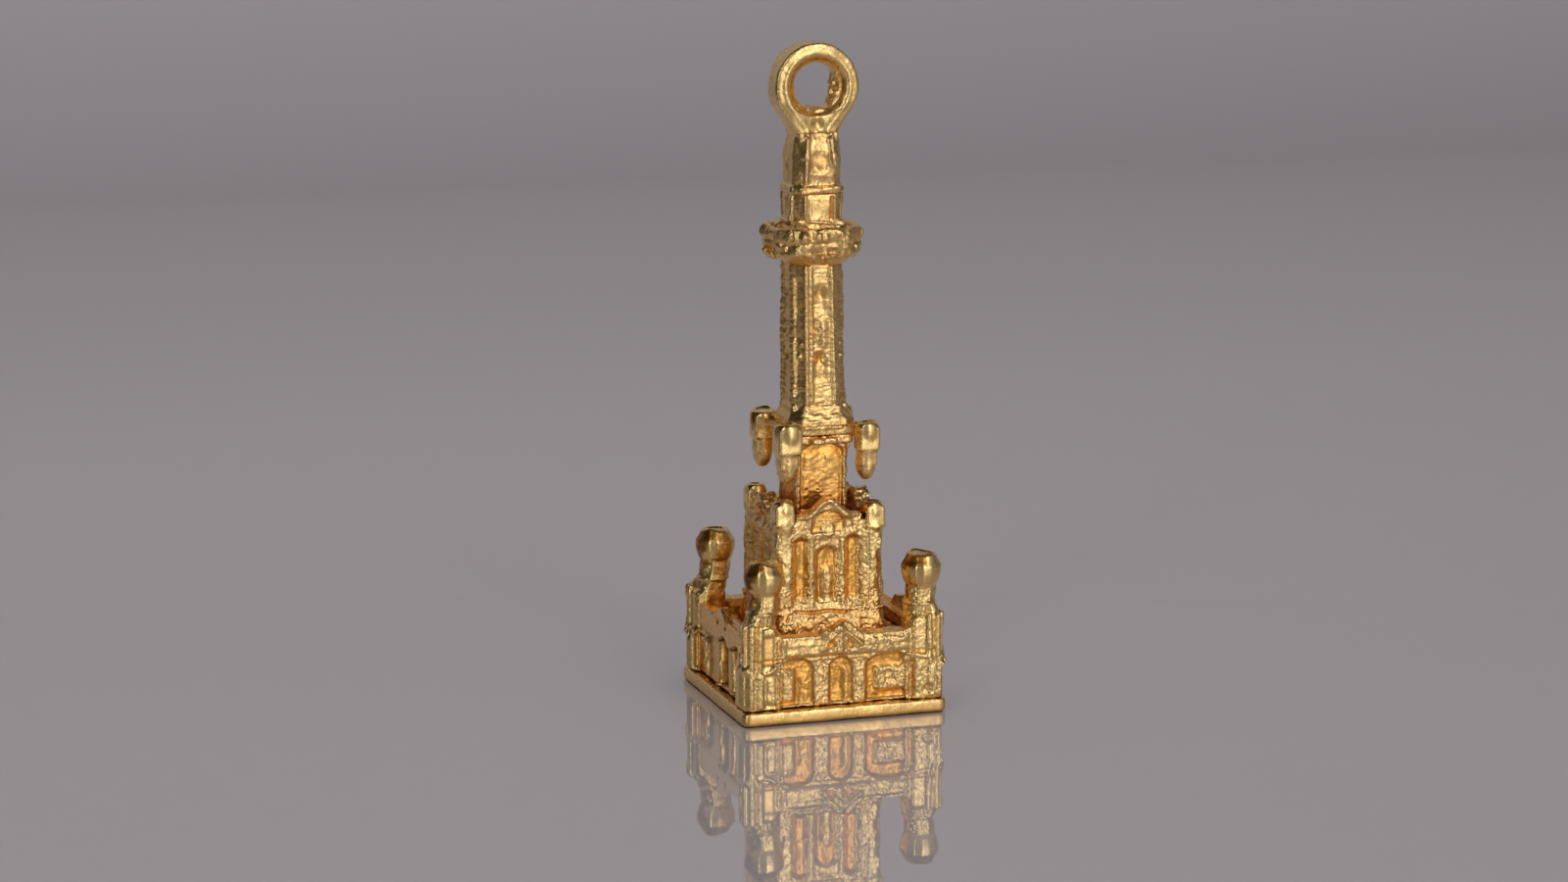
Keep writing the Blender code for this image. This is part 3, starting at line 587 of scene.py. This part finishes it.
def left_canvas(u, z):
    """Lower tier's side: a pair of lights, two single ones, and small sinkings over a plain band."""
    h = 0
    for centre, half, sill, crown in ((-4.02, 0.42, 0.75, 2.2), (-2.35, 0.72, 0.85, 2.5)):
        h = h - 0.13 * arched(u, z, centre, half, sill, crown, 0.3)
        h += 0.18 * ridge(u, z, arch_line(centre, half + 0.02, sill, crown, 0.3), 0.1)
    h += 0.17 * patch(u, z, -2.5, -2.25, 0.9, 2.3)
    for centre, half, sill, crown in ((0.5, 0.42, 0.88, 2.95), (2.35, 0.5, 0.9, 2.95)):
        h -= 0.18 * arched(u, z, centre, half + 0.12, sill, crown, 0.35)
        h += 0.26 * ridge(u, z, [(centre - half, sill), (centre - half, crown - 0.3)], 0.14)
    h -= 0.16 * arched(u, z, -4.0, 0.2, 2.85, 3.75, 0.2) + 0.14 * spot(u, z, -0.25, 3.5, 0.12)
    h -= 0.12 * spot(u, z, 0.85, 3.45, 0.1) + 0.13 * arched(u, z, 3.95, 0.18, 3.05, 3.7, 0.2)
    h += 0.08 * ridge(u, z, [(-4.4, 2.42), (-3.2, 2.5)], 0.09)
    return h + 0.1 * ridge(u, z, [(3.3, 2.4), (4.4, 2.4)], 0.1)


LOWER_TIER = (front_canvas, left_canvas, front_canvas, left_canvas)


def lower_relief(points, normals):
    """The lower tier's reliefs, between the base plate and the buttresses' necks."""
    height = points[:, 2]
    return on_sides(points, normals, LOWER_TIER) * ramp(height, 0.6, 0.75) * ramp(-height, -4.4, -4.1)


def side_relief(points, normals):
    """The side walls lie a little deeper than the front and back, which also paints them partly in the recess
    colour as painted reflection of gold on gold.
    """
    return lower_relief(points, normals) - 0.06


def make_walls():
    """The panels' recesses are filled first, so that the reliefs have the soft edges of worn wax."""
    for side in SIDES:
        name = {FRONT: "wall_front", RIGHT: "wall_right", BACK: "wall_back", LEFT: "wall_left"}[side]
        wax = Wax(name)
        wax.block((-2.96, -4.14, 0.66), (2.96, -3.6, 2.8), side)
        if side in (FRONT, BACK):
            for x in (-2.9, 2.9):
                wax.rod((x, -4.14, 0.8), (x, -4.14, 3.6), 0.2, side)
            wax.block((-0.98, -4.26, 3.5), (-0.66, -3.8, 3.86), side, 20)
            wax.moulding(ogee_line(0.9, 3.42, 4.05), 4.12, 0.12, side)
            wax.block((-2.9, -4.24, 3.3), (-1.0, -3.72, 3.66), side)
            wax.block((1.0, -4.24, 3.2), (2.9, -3.72, 3.56), side)
        else:
            wax.block((-2.9, -4.2, 3.3), (-1.1, -3.7, 3.75), side)
            wax.rod((-1.05, -4.05, 3.6), (0.1, -4.05, 4.08), 0.13, side)
            wax.rod((0.1, -4.05, 4.08), (1.1, -4.05, 3.55), 0.13, side)
            wax.rod((1.1, -4.05, 3.55), (2.9, -4.05, 3.5), 0.15, side)

        def plain_band(points, across=1 if side == RIGHT else -1):
            """The side walls are smooth but for the edges of their lights."""
            return 0.85 * ramp(-np.abs(left_canvas(across * points[:, 1], points[:, 2])), -0.07, -0.02)

        on_the_side = side in (LEFT, RIGHT)
        cast_piece(name + "_cast", [name], wax, CAST, soften=4, wobble=0.035, lumps=0.03,
                   grain=0.034, relief=side_relief if on_the_side else lower_relief,
                   smooth_where=plain_band if on_the_side else None, seed=21 + side // 90 * 10)


# How far along X and along Y each turret's cap sits from the tower's axis, and then each cap's shift
# along X and along Z, in mm
TURRET_AXIS = 3.5
TURRET_LEANS = {"front_left": (0.22, -0.08), "front_right": (0.15, -0.15),
                "back_right": (0.0, -0.1), "back_left": (0.24, -0.1)}


def make_turrets():
    """Corner colonnettes over a string course, a ribbed neck, and a dented cap that leans a little."""
    for index, corner in enumerate(CORNERS):
        name = "corner_turret_" + corner
        turn = index * 90
        wax = Wax(name)
        for x, y in ((4.14, 4.36), (3.78, 4.38), (4.36, 4.14), (4.38, 3.78)):
            wax.rod((-x, -y, 0.8), (-x, -y, 2.3), 0.1, turn)
            wax.rod((-x + 0.04, -y + 0.04, 2.5), (-x + 0.04, -y + 0.04, 4.2), 0.12, turn)
        for x, y in ((3.5, 4.06), (4.06, 3.5), (3.86, 3.9)):
            wax.rod((-x, -y, 4.0), (-x, -y, 4.75), 0.1, turn)
        wax.bead((-3.5, -3.5, 4.7), (0.74, 0.74, 0.16), turn)
        wax.rod((-3.5, -3.66, 5.1), (-3.05, -3.86, 3.7), 0.27, turn)
        wax.rod((-3.66, -3.5, 5.1), (-3.86, -3.05, 3.7), 0.27, turn)
        wax.rod((-3.6, -3.6, 5.1), (-4.02, -4.02, 4.0), 0.32, turn)
        lean, sink = TURRET_LEANS[corner]
        cap_centre = CORNER_SIGNS[index] * TURRET_AXIS

        def move(points, lean=lean, sink=sink, cap_centre=cap_centre):
            moved = points.copy()
            moved[:, :2] += (cap_centre - points[:, :2]) * (0.17 * ramp(points[:, 2], 6.35, 6.8))[:, None]
            moved[:, 0] += lean * ramp(points[:, 2], 4.0, 5.4)
            moved[:, 2] += sink * ramp(points[:, 2], 4.3, 5.8)
            moved[:, 2] += 0.12 * ramp(points[:, 2], 6.2, 6.8) * noise(points, 0.7, 47 + index)
            return moved

        def polished(points):
            """The cap, and less so the buttress's outer side and the sinking in its front."""
            x, y, z = points.T
            outer = 0.75 * ramp(np.abs(x), 4.15, 4.25) * ramp(-z, -4.3, -4.0)
            panel = 0.8 * patch(x, z, -3.6, -2.7, 2.5, 3.8) * ramp(-y, 3.8, 3.95)
            return np.maximum(ramp(z, 5.3, 5.6), np.maximum(outer, panel))

        cast_piece(name + "_cast", [name], wax, POLISHED, soften=5, wobble=0.045, lumps=0.03,
                   grain=0.022, smooth_where=polished, relief=lower_relief, move=move, seed=61 + index * 7)


def make_deck():
    """The rough floor inside the lower walls."""
    wax = Wax("terrace_deck")
    cast_piece("terrace_deck_cast", ["terrace_deck"], wax, CAST, voxel=1.4 * VOXEL, soften=3,
               wobble=0.04, lumps=0.04, grain=0.02, seed=97)


def middle_canvas(u, z):
    """Middle tier: an arched window between two slots, and an ogee gable over a blind arch."""
    u = u + 0.12
    h = -0.12 * arched(u, z, 0, 0.46, 4.7, 7.0, 0.45, 0.14) + 0.07 * patch(u, z, -0.2, 0.22, 4.7, 6.1, 0.14)
    for side in (-1, 1):
        h -= 0.12 * arched(u, z, side * 1.15, 0.26, 4.75, 7.4, 0.25, 0.14)
        h += 0.05 * ridge(u, z, [(side * 0.7, 4.5), (side * 0.7, 7.2)], 0.14)
        h += 0.07 * patch(u, z, side * 1.85 - 0.32, side * 1.85 + 0.32, 4.5, 7.6, 0.1)
    h -= 0.09 * arched(u, z, 0.05, 0.72, 7.6, 8.55, 0.6) - 0.05 * spot(u, z, 0.05, 7.75, 0.3)
    h += 0.05 * patch(u, z, -1.5, 1.5, 7.35, 7.7, 0.1)
    h += 0.12 * ridge(u, z, ogee_line(0.92, 8.3, 8.98), 0.12)
    return h - 0.1 * ridge(u, z, [(-1.4, 4.3), (-0.7, 4.18), (0.1, 4.26), (0.8, 4.12)], 0.06)


def make_middle_tier():
    """A block on a sloping plinth, with an ogee moulding over each gable."""
    wax = Wax("middle_tier")
    for side in SIDES:
        wax.block((-1.6, -2.24, 4.35), (1.6, -1.7, 8.06), side)
        wax.block((-2.26, -2.26, 4.2), (-1.5, -1.5, 8.0), side)
        for step in range(12):
            height, reach = 4.4 - 0.11 * step, 1.94 + 0.026 * step
            wax.rod((-reach, -reach, height), (reach, -reach, height), 0.4, side)
        wax.moulding(ogee_line(0.98, 8.28, 8.93, reach=0.3), 2.22, 0.07, side)

    def relief(points, normals):
        painted = on_sides(points, normals, (middle_canvas,) * 4)
        flare = ramp(-points[:, 2], -4.2, -3.4)
        return painted + 0.08 * flare * noise(points, (0.5, 0.5, 0.3), 105)

    cast_piece("middle_tier_cast", ["middle_tier"], wax, CAST, soften=4, wobble=0.04, lumps=0.03,
               grain=0.036, relief=relief, seed=101)


# The same for the posts of the middle tier
POST_AXIS = 1.88
POST_MOVES = {"front_left": (-0.02, 0.06), "front_right": (0.08, -0.2),
              "back_right": (-0.05, -0.1), "back_left": (0.0, 0.05)}


def make_posts():
    """Posts that the wax has joined to the walls behind them, each with a squared cap."""
    for index, corner in enumerate(CORNERS):
        name = "middle_post_" + corner
        turn = index * 90
        wax = Wax(name)
        wax.block((-2.3, -2.3, 4.35), (-1.62, -1.62, 8.0), turn)
        wax.block((-2.38, -2.38, 7.95), (-1.54, -1.54, 8.8), turn)
        wax.bead((-1.96, -1.96, 8.0), (0.5, 0.5, 0.45), turn)
        wax.bead((-2.28, -2.2, 7.0), (0.14, 0.14, 0.3), turn)
        shift, drop = POST_MOVES[corner]
        post_centre = CORNER_SIGNS[index] * POST_AXIS

        def move(points, shift=shift, drop=drop, post_centre=post_centre):
            moved = points.copy()
            cap = ramp(points[:, 2], 7.85, 8.15) * (0.03 + 0.13 * ramp(points[:, 2], 8.5, 9.1))
            moved[:, :2] += (post_centre - points[:, :2]) * cap[:, None]
            moved[:, 0] += shift * ramp(points[:, 2], 7.4, 8.2)
            moved[:, 2] += drop * ramp(points[:, 2], 7.2, 8.0)
            return moved

        cast_piece(name + "_cast", [name], wax, POLISHED, soften=16, wobble=0.05,
                   lumps=0.04, grain=0.025, smooth_where=lambda p: ramp(p[:, 2], 7.95, 8.15), move=move,
                   seed=121 + index * 7)


def upper_canvas(u, z):
    """Upper tier: a blind arch that nearly fills the face, and a short ledge over it."""
    h = -0.14 * arched(u, z, 0, 0.95, 8.3, 11.2, 0.4) + 0.06 * patch(u, z, -0.9, 0.9, 8.4, 10.75, 0.2)
    return h + 0.1 * patch(u, z, -0.5, 0.55, 11.2, 11.42, 0.05)


def make_upper_tier():
    """A block whose faces are filled to shallow blind arches."""
    wax = Wax("upper_tier")
    for side in SIDES:
        wax.block((-1.0, -1.16, 8.1), (1.0, -0.9, 11.2), side)
        wax.block((-0.6, -1.4, 11.22), (0.55, -1.2, 11.42), side)
    cast_piece("upper_tier_cast", ["upper_tier"], wax, CAST, soften=5, wobble=0.04, lumps=0.025,
               grain=0.036, grain_size=(0.24, 0.24, 0.12), seed=161,
               relief=lambda p, n: on_sides(p, n, (upper_canvas,) * 4))


def make_bracket():
    """The arms are thickened on the way to the hanging turrets."""
    wax = Wax("bracket_plate")
    for turn in SIDES:
        wax.rod((-0.9, -0.9, 11.78), (-1.6, -1.6, 11.78), 0.3, turn)
        wax.rod((-1.0, -1.0, 11.95), (-1.62, -1.62, 11.9), 0.2, turn)
        wax.block((-0.9, -1.42, 11.86), (0.8, -1.3, 11.98), turn)
    cast_piece("bracket_plate_cast", ["bracket_plate"], wax, CAST, soften=5, wobble=0.03,
               lumps=0.03, grain=0.02, seed=171)


# The same for the hanging turrets, and how much wider than drawn each one is
BARTIZAN_AXIS = 1.79
BARTIZAN_MOVES = {"front_left": (0.05, 0.0, 0.14), "front_right": (-0.03, -0.02, 0.0),
                  "back_right": (-0.05, 0.0, 0.05), "back_left": (0.1, 0.05, 0.0)}


def make_bartizans():
    """Hanging turrets: a squared cap, and a body with a few flats that closes to a point."""
    for index, corner in enumerate(CORNERS):
        name = "bartizan_" + corner
        turn = index * 90
        wax = Wax(name)
        wax.block((-2.24, -2.24, 11.0), (-1.36, -1.36, 12.02), turn)
        wax.block((-2.16, -2.16, 10.35), (-1.44, -1.44, 11.4), turn)
        wax.bead((-1.72, -1.72, 10.4), (0.38, 0.38, 0.62), turn)
        shift, drop, fatter = BARTIZAN_MOVES[corner]
        hang = CORNER_SIGNS[index] * BARTIZAN_AXIS

        def move(points, shift=shift, drop=drop, fatter=fatter, hang=hang):
            body = 1 - ramp(points[:, 2], 10.85, 11.05)
            moved = points + np.array([shift, 0, drop])
            moved[:, :2] += (hang - points[:, :2]) * (0.03 * body - fatter)[:, None]
            moved[:, 2] += 0.1 * ramp(points[:, 2], 11.8, 12.2) * noise(points, 0.6, 57 + index)
            return moved

        cast_piece(name + "_cast", [name], wax, POLISHED, soften=12, wobble=0.05,
                   lumps=0.035, grain=0.014, move=move, seed=181 + index * 7,
                   smooth_where=lambda p: 0.5 + 0.5 * ramp(p[:, 2], 10.9, 11.05))


# The shaft's heights at its waist and head, its half widths there, and the ribs down each wide face,
# each with its place at the foot and at the head and its radius
SHAFT_FOOT, SHAFT_HEAD = 12.72, 18.75
SHAFT_WAIST, SHAFT_TOP = 1.15, 1.08
SHAFT_RIBS = ((-0.67, -0.61, 0.1), (-0.46, -0.4, 0.06), (0.54, 0.49, 0.08))


def shaft_half(z):
    """Half the shaft's width at a height, from its waist to its head."""
    return SHAFT_WAIST + (SHAFT_TOP - SHAFT_WAIST) * (z - SHAFT_FOOT) / (SHAFT_HEAD - SHAFT_FOOT)


def shaft_canvas(u, z):
    """A wide face: two worn arches, and a boss between them."""
    h = -0.12 * spot(u, z, -0.08, 14.88, 0.17, 0.15) - 0.05 * patch(u, z, -0.3, 0.16, 13.9, 14.8, 0.15)
    h -= 0.09 * spot(u, z, -0.02, 17.62, 0.2, 0.2) + 0.04 * patch(u, z, -0.3, 0.2, 16.8, 17.5, 0.15)
    h += 0.07 * ridge(u, z, [(0.08, 15.5), (0.1, 16.3)], 0.2)
    h -= 0.05 * ridge(u, z, [(-0.25, 15.5), (-0.2, 16.4)], 0.08)
    return h * ramp(z, 12.4, 12.8)


def shaft_corner_canvas(u, z):
    """A narrow face: a long smooth sinking with a small boss."""
    h = -0.04 * patch(u, z, -0.2, 0.2, 13.2, 18.2, 0.12)
    h += 0.06 * spot(u, z, 0.0, 16.1, 0.1, 0.4) + 0.04 * spot(u, z, -0.1, 13.6, 0.1, 0.4)
    return h + 0.13 * spot(u, z, 0, 14.9, 0.08) + 0.1 * spot(u, z, 0.08, 15.4, 0.07)


def make_shaft():
    """The wide faces' windows are filled. Each face has two ribs by one edge and one by the other."""
    wax = Wax("tower_shaft")
    for side in SIDES:
        for z in np.arange(13.0, 18.6, 0.5):
            wax.block((-0.4, -shaft_half(z + 0.6), z), (0.4, -0.8, z + 0.6), side)
        mirror = -1 if side == RIGHT else 1
        for foot, head, radius in SHAFT_RIBS:
            low = (mirror * foot, -shaft_half(12.9), 12.9)
            high = (mirror * head, -shaft_half(18.7), 18.7)
            wax.rod(low, high, radius, side)
        wax.rod((-0.72, -1.1, 12.68), (0.72, -1.1, 12.68), 0.16, side)
        wax.rod((-0.4, -1.12, 12.68), (0.4, -1.12, 12.68), 0.16, side + 45)

    def relief(points, normals):
        painted = on_sides(points, normals, (shaft_canvas,) * 4, 0, *ONE_FACET)
        return painted + on_sides(points, normals, (shaft_corner_canvas,) * 4, 45, *ONE_FACET)

    def smoother_corners(points):
        return 0.45 * ramp(np.minimum(np.abs(points[:, 0]), np.abs(points[:, 1])), 0.66, 0.76)

    cast_piece("tower_shaft_cast", ["tower_shaft"], wax, CAST, soften=4, wobble=0.035,
               lumps=0.02, grain=0.03, grain_size=(0.36, 0.36, 0.12), relief=relief,
               smooth_where=smoother_corners, seed=211)


def make_gallery():
    """The well is filled to a slope, and the parapet and corbels are worn to rows of beads."""
    wax = Wax("gallery")
    foot, count = 20.0, 12
    for i in range(count):
        top = foot + 0.16 + 0.6 * ((i + 1) / count) ** 2
        for half in (1.5 - 0.5 * i / count, 1.5 - 0.5 * (i + 1) / count):
            wax.block((-half, -half, foot), (half, half, top))
    for side in SIDES:
        wax.rod((-0.9, -1.66, 19.64), (0.9, -1.66, 19.64), 0.19, side)
        wax.rod((-0.5, -1.62, 19.64), (0.5, -1.62, 19.64), 0.19, side + 45)
        upper_beads = (-0.95, 20.05), (-0.3, 20.02), (0.04, 20.0)
        lower_beads = (-0.5, 19.2), (-0.1, 19.14), (0.3, 19.22)
        for x, z in upper_beads + lower_beads:
            wax.bead((x, -1.88, z), (0.17, 0.14, 0.24), side)
        wax.rod((0.72, -1.84, 20.2), (0.76, -1.78, 19.2), 0.08, side)
        wax.bead((0, -1.84, 20.15), (0.3, 0.24, 0.26), side + 45)
        wax.bead((0, -1.78, 19.3), (0.3, 0.22, 0.26), side + 45)

    def rounded_foot(points):
        """The lower band draws in towards the shaft."""
        moved = points.copy()
        moved[:, :2] *= 1 - 0.09 * ramp(-points[:, 2:], -19.35, -18.95)
        return moved

    cast_piece("gallery_cast", ["gallery"], wax, CAST, soften=20, wobble=0.1, lumps=0.06,
               grain=0.018, move=rounded_foot, seed=221)


def drum_canvas(u, z):
    """Lantern: a raised panel between two ribs, with a groove beside the right one."""
    h = 0.04 * patch(u, z, -0.5, 0.45, 20.4, 21.6) + 0.08 * ridge(u, z, [(-0.64, 20.4), (-0.64, 21.7)], 0.06)
    h += 0.08 * ridge(u, z, [(0.62, 20.4), (0.62, 21.7)], 0.05)
    return h - 0.1 * ridge(u, z, [(0.5, 20.6), (0.5, 21.6)], 0.05)


def make_lantern():
    """The drum's windows are filled, with a sill and a bent foot on each side."""
    wax = Wax("lantern_drum")
    for side in SIDES:
        wax.block((-0.52, -1.08, 20.3), (0.52, -0.8, 21.7), side)
        wax.rod((-0.55, -1.08, 20.62), (0.5, -1.08, 20.52), 0.08, side)
        wax.rod((-0.7, -0.95, 20.4), (-0.62, -1.25, 20.2), 0.16, side)
    cast_piece("lantern_drum_cast", ["lantern_drum"], wax, CAST, soften=6, wobble=0.045,
               lumps=0.045, grain=0.012, seed=231,
               relief=lambda p, n: on_sides(p, n, (drum_canvas,) * 4, 0, *ONE_FACET))


def dome_canvas(u, z):
    """The ring's legs run on down the dome as two ribs, over a dished panel."""
    h = 0.12 * ridge(u, z, [(-0.5, 24.3), (-0.58, 23.4), (-0.62, 22.3)], 0.1)
    h += 0.12 * ridge(u, z, [(0.5, 24.3), (0.52, 23.6), (0.6, 23.0)], 0.1)
    h -= 0.05 * spot(u, z, -0.02, 23.1, 0.4, 0.15)
    return h + 0.05 * ridge(u, z, [(-0.4, 22.6), (0.5, 22.5)], 0.12)


def plain_canvas(u, z):
    """A side with no relief."""
    return 0 * u


def make_dome():
    """A square neck for the ring, a crooked drip rim, and ribs on the shoulders."""
    wax = Wax("dome_cap")
    wax.block((-0.84, -0.84, 23.6), (0.84, 0.84, 24.3))
    for side in (FRONT, BACK):
        wax.rod((-0.75, -1.12, 21.86), (0.85, -1.12, 22.02), 0.1, side)
        for sign in (-1, 1):
            wax.rod((sign * 0.62, -0.7, 24.15), (sign * 0.66, -0.98, 23.3), 0.14, side)
    cast_piece("dome_cap_cast", ["dome_cap"], wax, CAST, soften=7, wobble=0.05, lumps=0.035,
               grain=0.01, seed=241,
               relief=lambda p, n: on_sides(p, n, (dome_canvas, plain_canvas) * 2, 0, *ONE_FACET))


RING_CENTRE = 26.2


def ring_relief(points, normals):
    """A thin crest on the rounded faces, a dip over the stem, and rough flash left inside the eye."""
    x, z = points[:, 0], points[:, 2] - RING_CENTRE
    radius = np.hypot(x, z)
    face = ramp(np.abs(normals[:, 1]), 0.5, 0.8)
    round_part = ramp(z, -1.3, -0.9)
    crest = 0.03 * face * round_part * np.exp(-(((radius - 1.42) / 0.09) ** 2))
    for sign in (-1, 1):
        leg = [(sign * 1.25, -0.75), (sign * 0.45, -1.75), (sign * 0.4, -2.2)]
        crest += 0.05 * face * ridge(x, z, leg, 0.15)
    dip = 0.1 * face * spot(x, z, 0, -1.52, 0.16, 0.2)
    inward = -(x * normals[:, 0] + z * normals[:, 2]) / np.maximum(radius, 0.1)
    inside = ramp(inward, 0.3, 0.8) * ramp(-radius, -1.3, -1.1)
    angle = np.degrees(np.arctan2(z, x))
    right = ramp(angle, -60, -35) * ramp(-angle, -40, -5)
    low = ramp(angle, -130, -105) * ramp(-angle, 60, 80)
    flash = inside * (0.02 + 0.16 * right + 0.1 * low) * (0.75 + 0.7 * noise(points, 0.22, 255))
    return crest - dip + flash


def bevelled(points):
    """The ring's faces slope in towards the eye."""
    moved = points.copy()
    radius = np.hypot(points[:, 0], points[:, 2] - RING_CENTRE)
    moved[:, 1] *= 1 - 0.35 * ramp(-radius, -1.34, -1.0)
    return moved


def make_bail():
    """The legs run straight from the ring's sides to the dome's shoulders, on both faces."""
    wax = Wax("bail_loop")
    wax.block((-0.86, -0.62, 24.1), (0.86, 0.62, 24.9))
    for y in (-0.64, 0.64):
        wax.rod((-0.74, y, 24.2), (0.74, y, 24.2), 0.13)
    for sign in (-1, 1):
        for y in (-0.36, 0, 0.36):
            wax.rod((sign * 1.42, y, 25.7), (sign * 0.62, y, 24.05), 0.26)
    cast_piece("bail_loop_cast", ["bail_loop"], wax, POLISHED, soften=34, wobble=0.04,
               lumps=0.03, grain=0.012, swell=0.03, smooth_where=lambda p: np.full(len(p), 0.4),
               relief=ring_relief, move=bevelled, seed=251)


# ---------------------------------------------------------------- floor, lights and camera


def plain_sheet(name, corners, colour, roughness, coat=0.0):
    """A flat sheet through four corners in millimetres, in one plain colour."""
    mesh = bpy.data.meshes.new(name)
    mesh.from_pydata([Vector(c) / 1000 for c in corners], [], [(0, 1, 2, 3)])
    sheet = bpy.data.objects.new(name, mesh)
    bpy.context.scene.collection.objects.link(sheet)
    material = bpy.data.materials.new(name)
    material.use_nodes = True
    shader = material.node_tree.nodes["Principled BSDF"]
    shader.inputs["Base Color"].default_value = (*colour, 1)
    shader.inputs["Roughness"].default_value = roughness
    shader.inputs["Coat Weight"].default_value = coat
    shader.inputs["Coat Roughness"].default_value = roughness
    mesh.materials.append(material)
    return sheet


def shade_upwards(sheet, low, high, lower, upper):
    """Grades a sheet's colour between two heights in metres."""
    tree = sheet.data.materials[0].node_tree
    place = tree.nodes.new("ShaderNodeNewGeometry")
    axes = tree.nodes.new("ShaderNodeSeparateXYZ")
    blend = tree.nodes.new("ShaderNodeMix")
    blend.data_type = "RGBA"
    blend.inputs["A"].default_value = (*lower, 1)
    blend.inputs["B"].default_value = (*upper, 1)
    tree.links.new(place.outputs["Position"], axes.inputs["Vector"])
    tree.links.new(map_range(tree, axes.outputs["Z"], low, high, 0, 1), blend.inputs["Factor"])
    tree.links.new(blend.outputs["Result"], tree.nodes["Principled BSDF"].inputs["Base Color"])


def make_stage():
    """A glossy pale table that ends not far left of the charm, and a plain wall at its far edge."""
    far, wide, left, wall_left, wall_top = BACKDROP_DISTANCE, 600, -82, -142, 300
    table = plain_sheet("table", ((left, -wide, 0), (wide, -wide, 0), (wide, far, 0), (left, far, 0)),
                        (0.352, 0.326, 0.328), 0.015, coat=1.0)
    wall_foot = (0.42, 0.40, 0.414)
    wall = plain_sheet("wall", ((wall_left, far, -1), (wide, far, -1), (wide, far, wall_top),
                                (wall_left, far, wall_top)), wall_foot, 0.9)
    shade_upwards(wall, 0.0, 0.02, wall_foot, (0.515, 0.49, 0.517))


def add_light(name, azimuth, elevation, distance, width, height, power, shiny=True):
    """A softbox that faces the charm's middle. Azimuth 0 is in front, positive to the right.

    Distance and size are in mm, and power is in watts.
    """
    data = bpy.data.lights.new(name, "AREA")
    data.shape = "RECTANGLE"
    data.size = width / 1000
    data.size_y = height / 1000
    data.energy = power
    lamp = bpy.data.objects.new(name, data)
    a, e = math.radians(azimuth), math.radians(elevation)
    back = Vector((math.sin(a) * math.cos(e), -math.cos(a) * math.cos(e), math.sin(e)))
    lamp.location = (Vector((0, 0, 12)) + back * distance) / 1000
    lamp.rotation_euler = back.to_track_quat("Z", "Y").to_euler()
    lamp.visible_glossy = shiny
    bpy.context.scene.collection.objects.link(lamp)


def make_lights():
    """Two upright softboxes that the metal mirrors, and an overhead one that only lights the stage."""
    add_light("left_strip", -44, 24, 300, 36, 290, 0.115)
    add_light("right_strip", 13, 26, 300, 60, 290, 0.13)
    add_light("table_light", 0, 88, 400, 400, 400, 1.2, shiny=False)


def make_look():
    """Dim surroundings, darkest overhead and on the two sides, with a soft glow high on the front right."""
    world = bpy.data.worlds.new("studio")
    world.use_nodes = True
    tree = world.node_tree
    place = tree.nodes.new("ShaderNodeTexCoord")
    axes = tree.nodes.new("ShaderNodeSeparateXYZ")
    tree.links.new(place.outputs["Generated"], axes.inputs["Vector"])

    def band(value, low, high, to_low, to_high):
        return map_range(tree, value, low, high, to_low, to_high, "SMOOTHSTEP")

    def maths(operation, first, second):
        made = tree.nodes.new("ShaderNodeMath")
        made.operation = operation
        tree.links.new(first, made.inputs[0])
        tree.links.new(second, made.inputs[1])
        return made.outputs["Value"]

    height = band(axes.outputs["Z"], 0.15, 0.8, 0.28, 0.05)
    left = band(axes.outputs["X"], -0.85, 0.3, 0.24, 1.0)
    right = band(axes.outputs["X"], 0.65, 0.95, 1.0, 0.5)
    towards_glow = tree.nodes.new("ShaderNodeVectorMath")
    towards_glow.operation = "DOT_PRODUCT"
    tree.links.new(place.outputs["Generated"], towards_glow.inputs[0])
    towards_glow.inputs[1].default_value = (0.34, -0.82, 0.46)
    glow = band(towards_glow.outputs["Value"], 0.7, 1.0, 0.0, 0.44)
    total = maths("ADD", maths("MULTIPLY", maths("MULTIPLY", height, left), right), glow)
    background = tree.nodes["Background"]
    background.inputs["Color"].default_value = (1.0, 0.93, 0.95, 1)
    tree.links.new(total, background.inputs["Strength"])
    bpy.context.scene.world = world
    bpy.context.scene.view_settings.view_transform = "Standard"  # plain colours, with no film curve


def make_camera():
    """The camera looks along its azimuth and elevation, with a small step to one side."""
    a, e = CAMERA_AZIMUTH, CAMERA_ELEVATION
    forward = Vector((math.sin(a) * math.cos(e), math.cos(a) * math.cos(e), -math.sin(e)))
    right = Vector((math.cos(a), -math.sin(a), 0))
    data = bpy.data.cameras.new("camera")
    data.lens = CAMERA_LENS
    data.sensor_width = 36
    data.clip_start = 0.005
    data.dof.use_dof = True
    data.dof.aperture_fstop = APERTURE
    data.dof.focus_object = bpy.data.objects.get("tower_shaft_cast")
    camera = bpy.data.objects.new("camera", data)
    camera.location = (Vector((0, 0, AIM_HEIGHT)) - forward * CAMERA_DISTANCE - right * SIDE_STEP) / 1000
    camera.rotation_euler = forward.to_track_quat("-Z", "Y").to_euler()
    bpy.context.scene.collection.objects.link(camera)
    bpy.context.scene.camera = camera


make_base_plate()
make_walls()
make_turrets()
make_deck()
make_middle_tier()
make_posts()
make_upper_tier()
make_bracket()
make_bartizans()
make_shaft()
make_gallery()
make_lantern()
make_dome()
make_bail()
make_stage()
make_lights()
make_look()
make_camera()
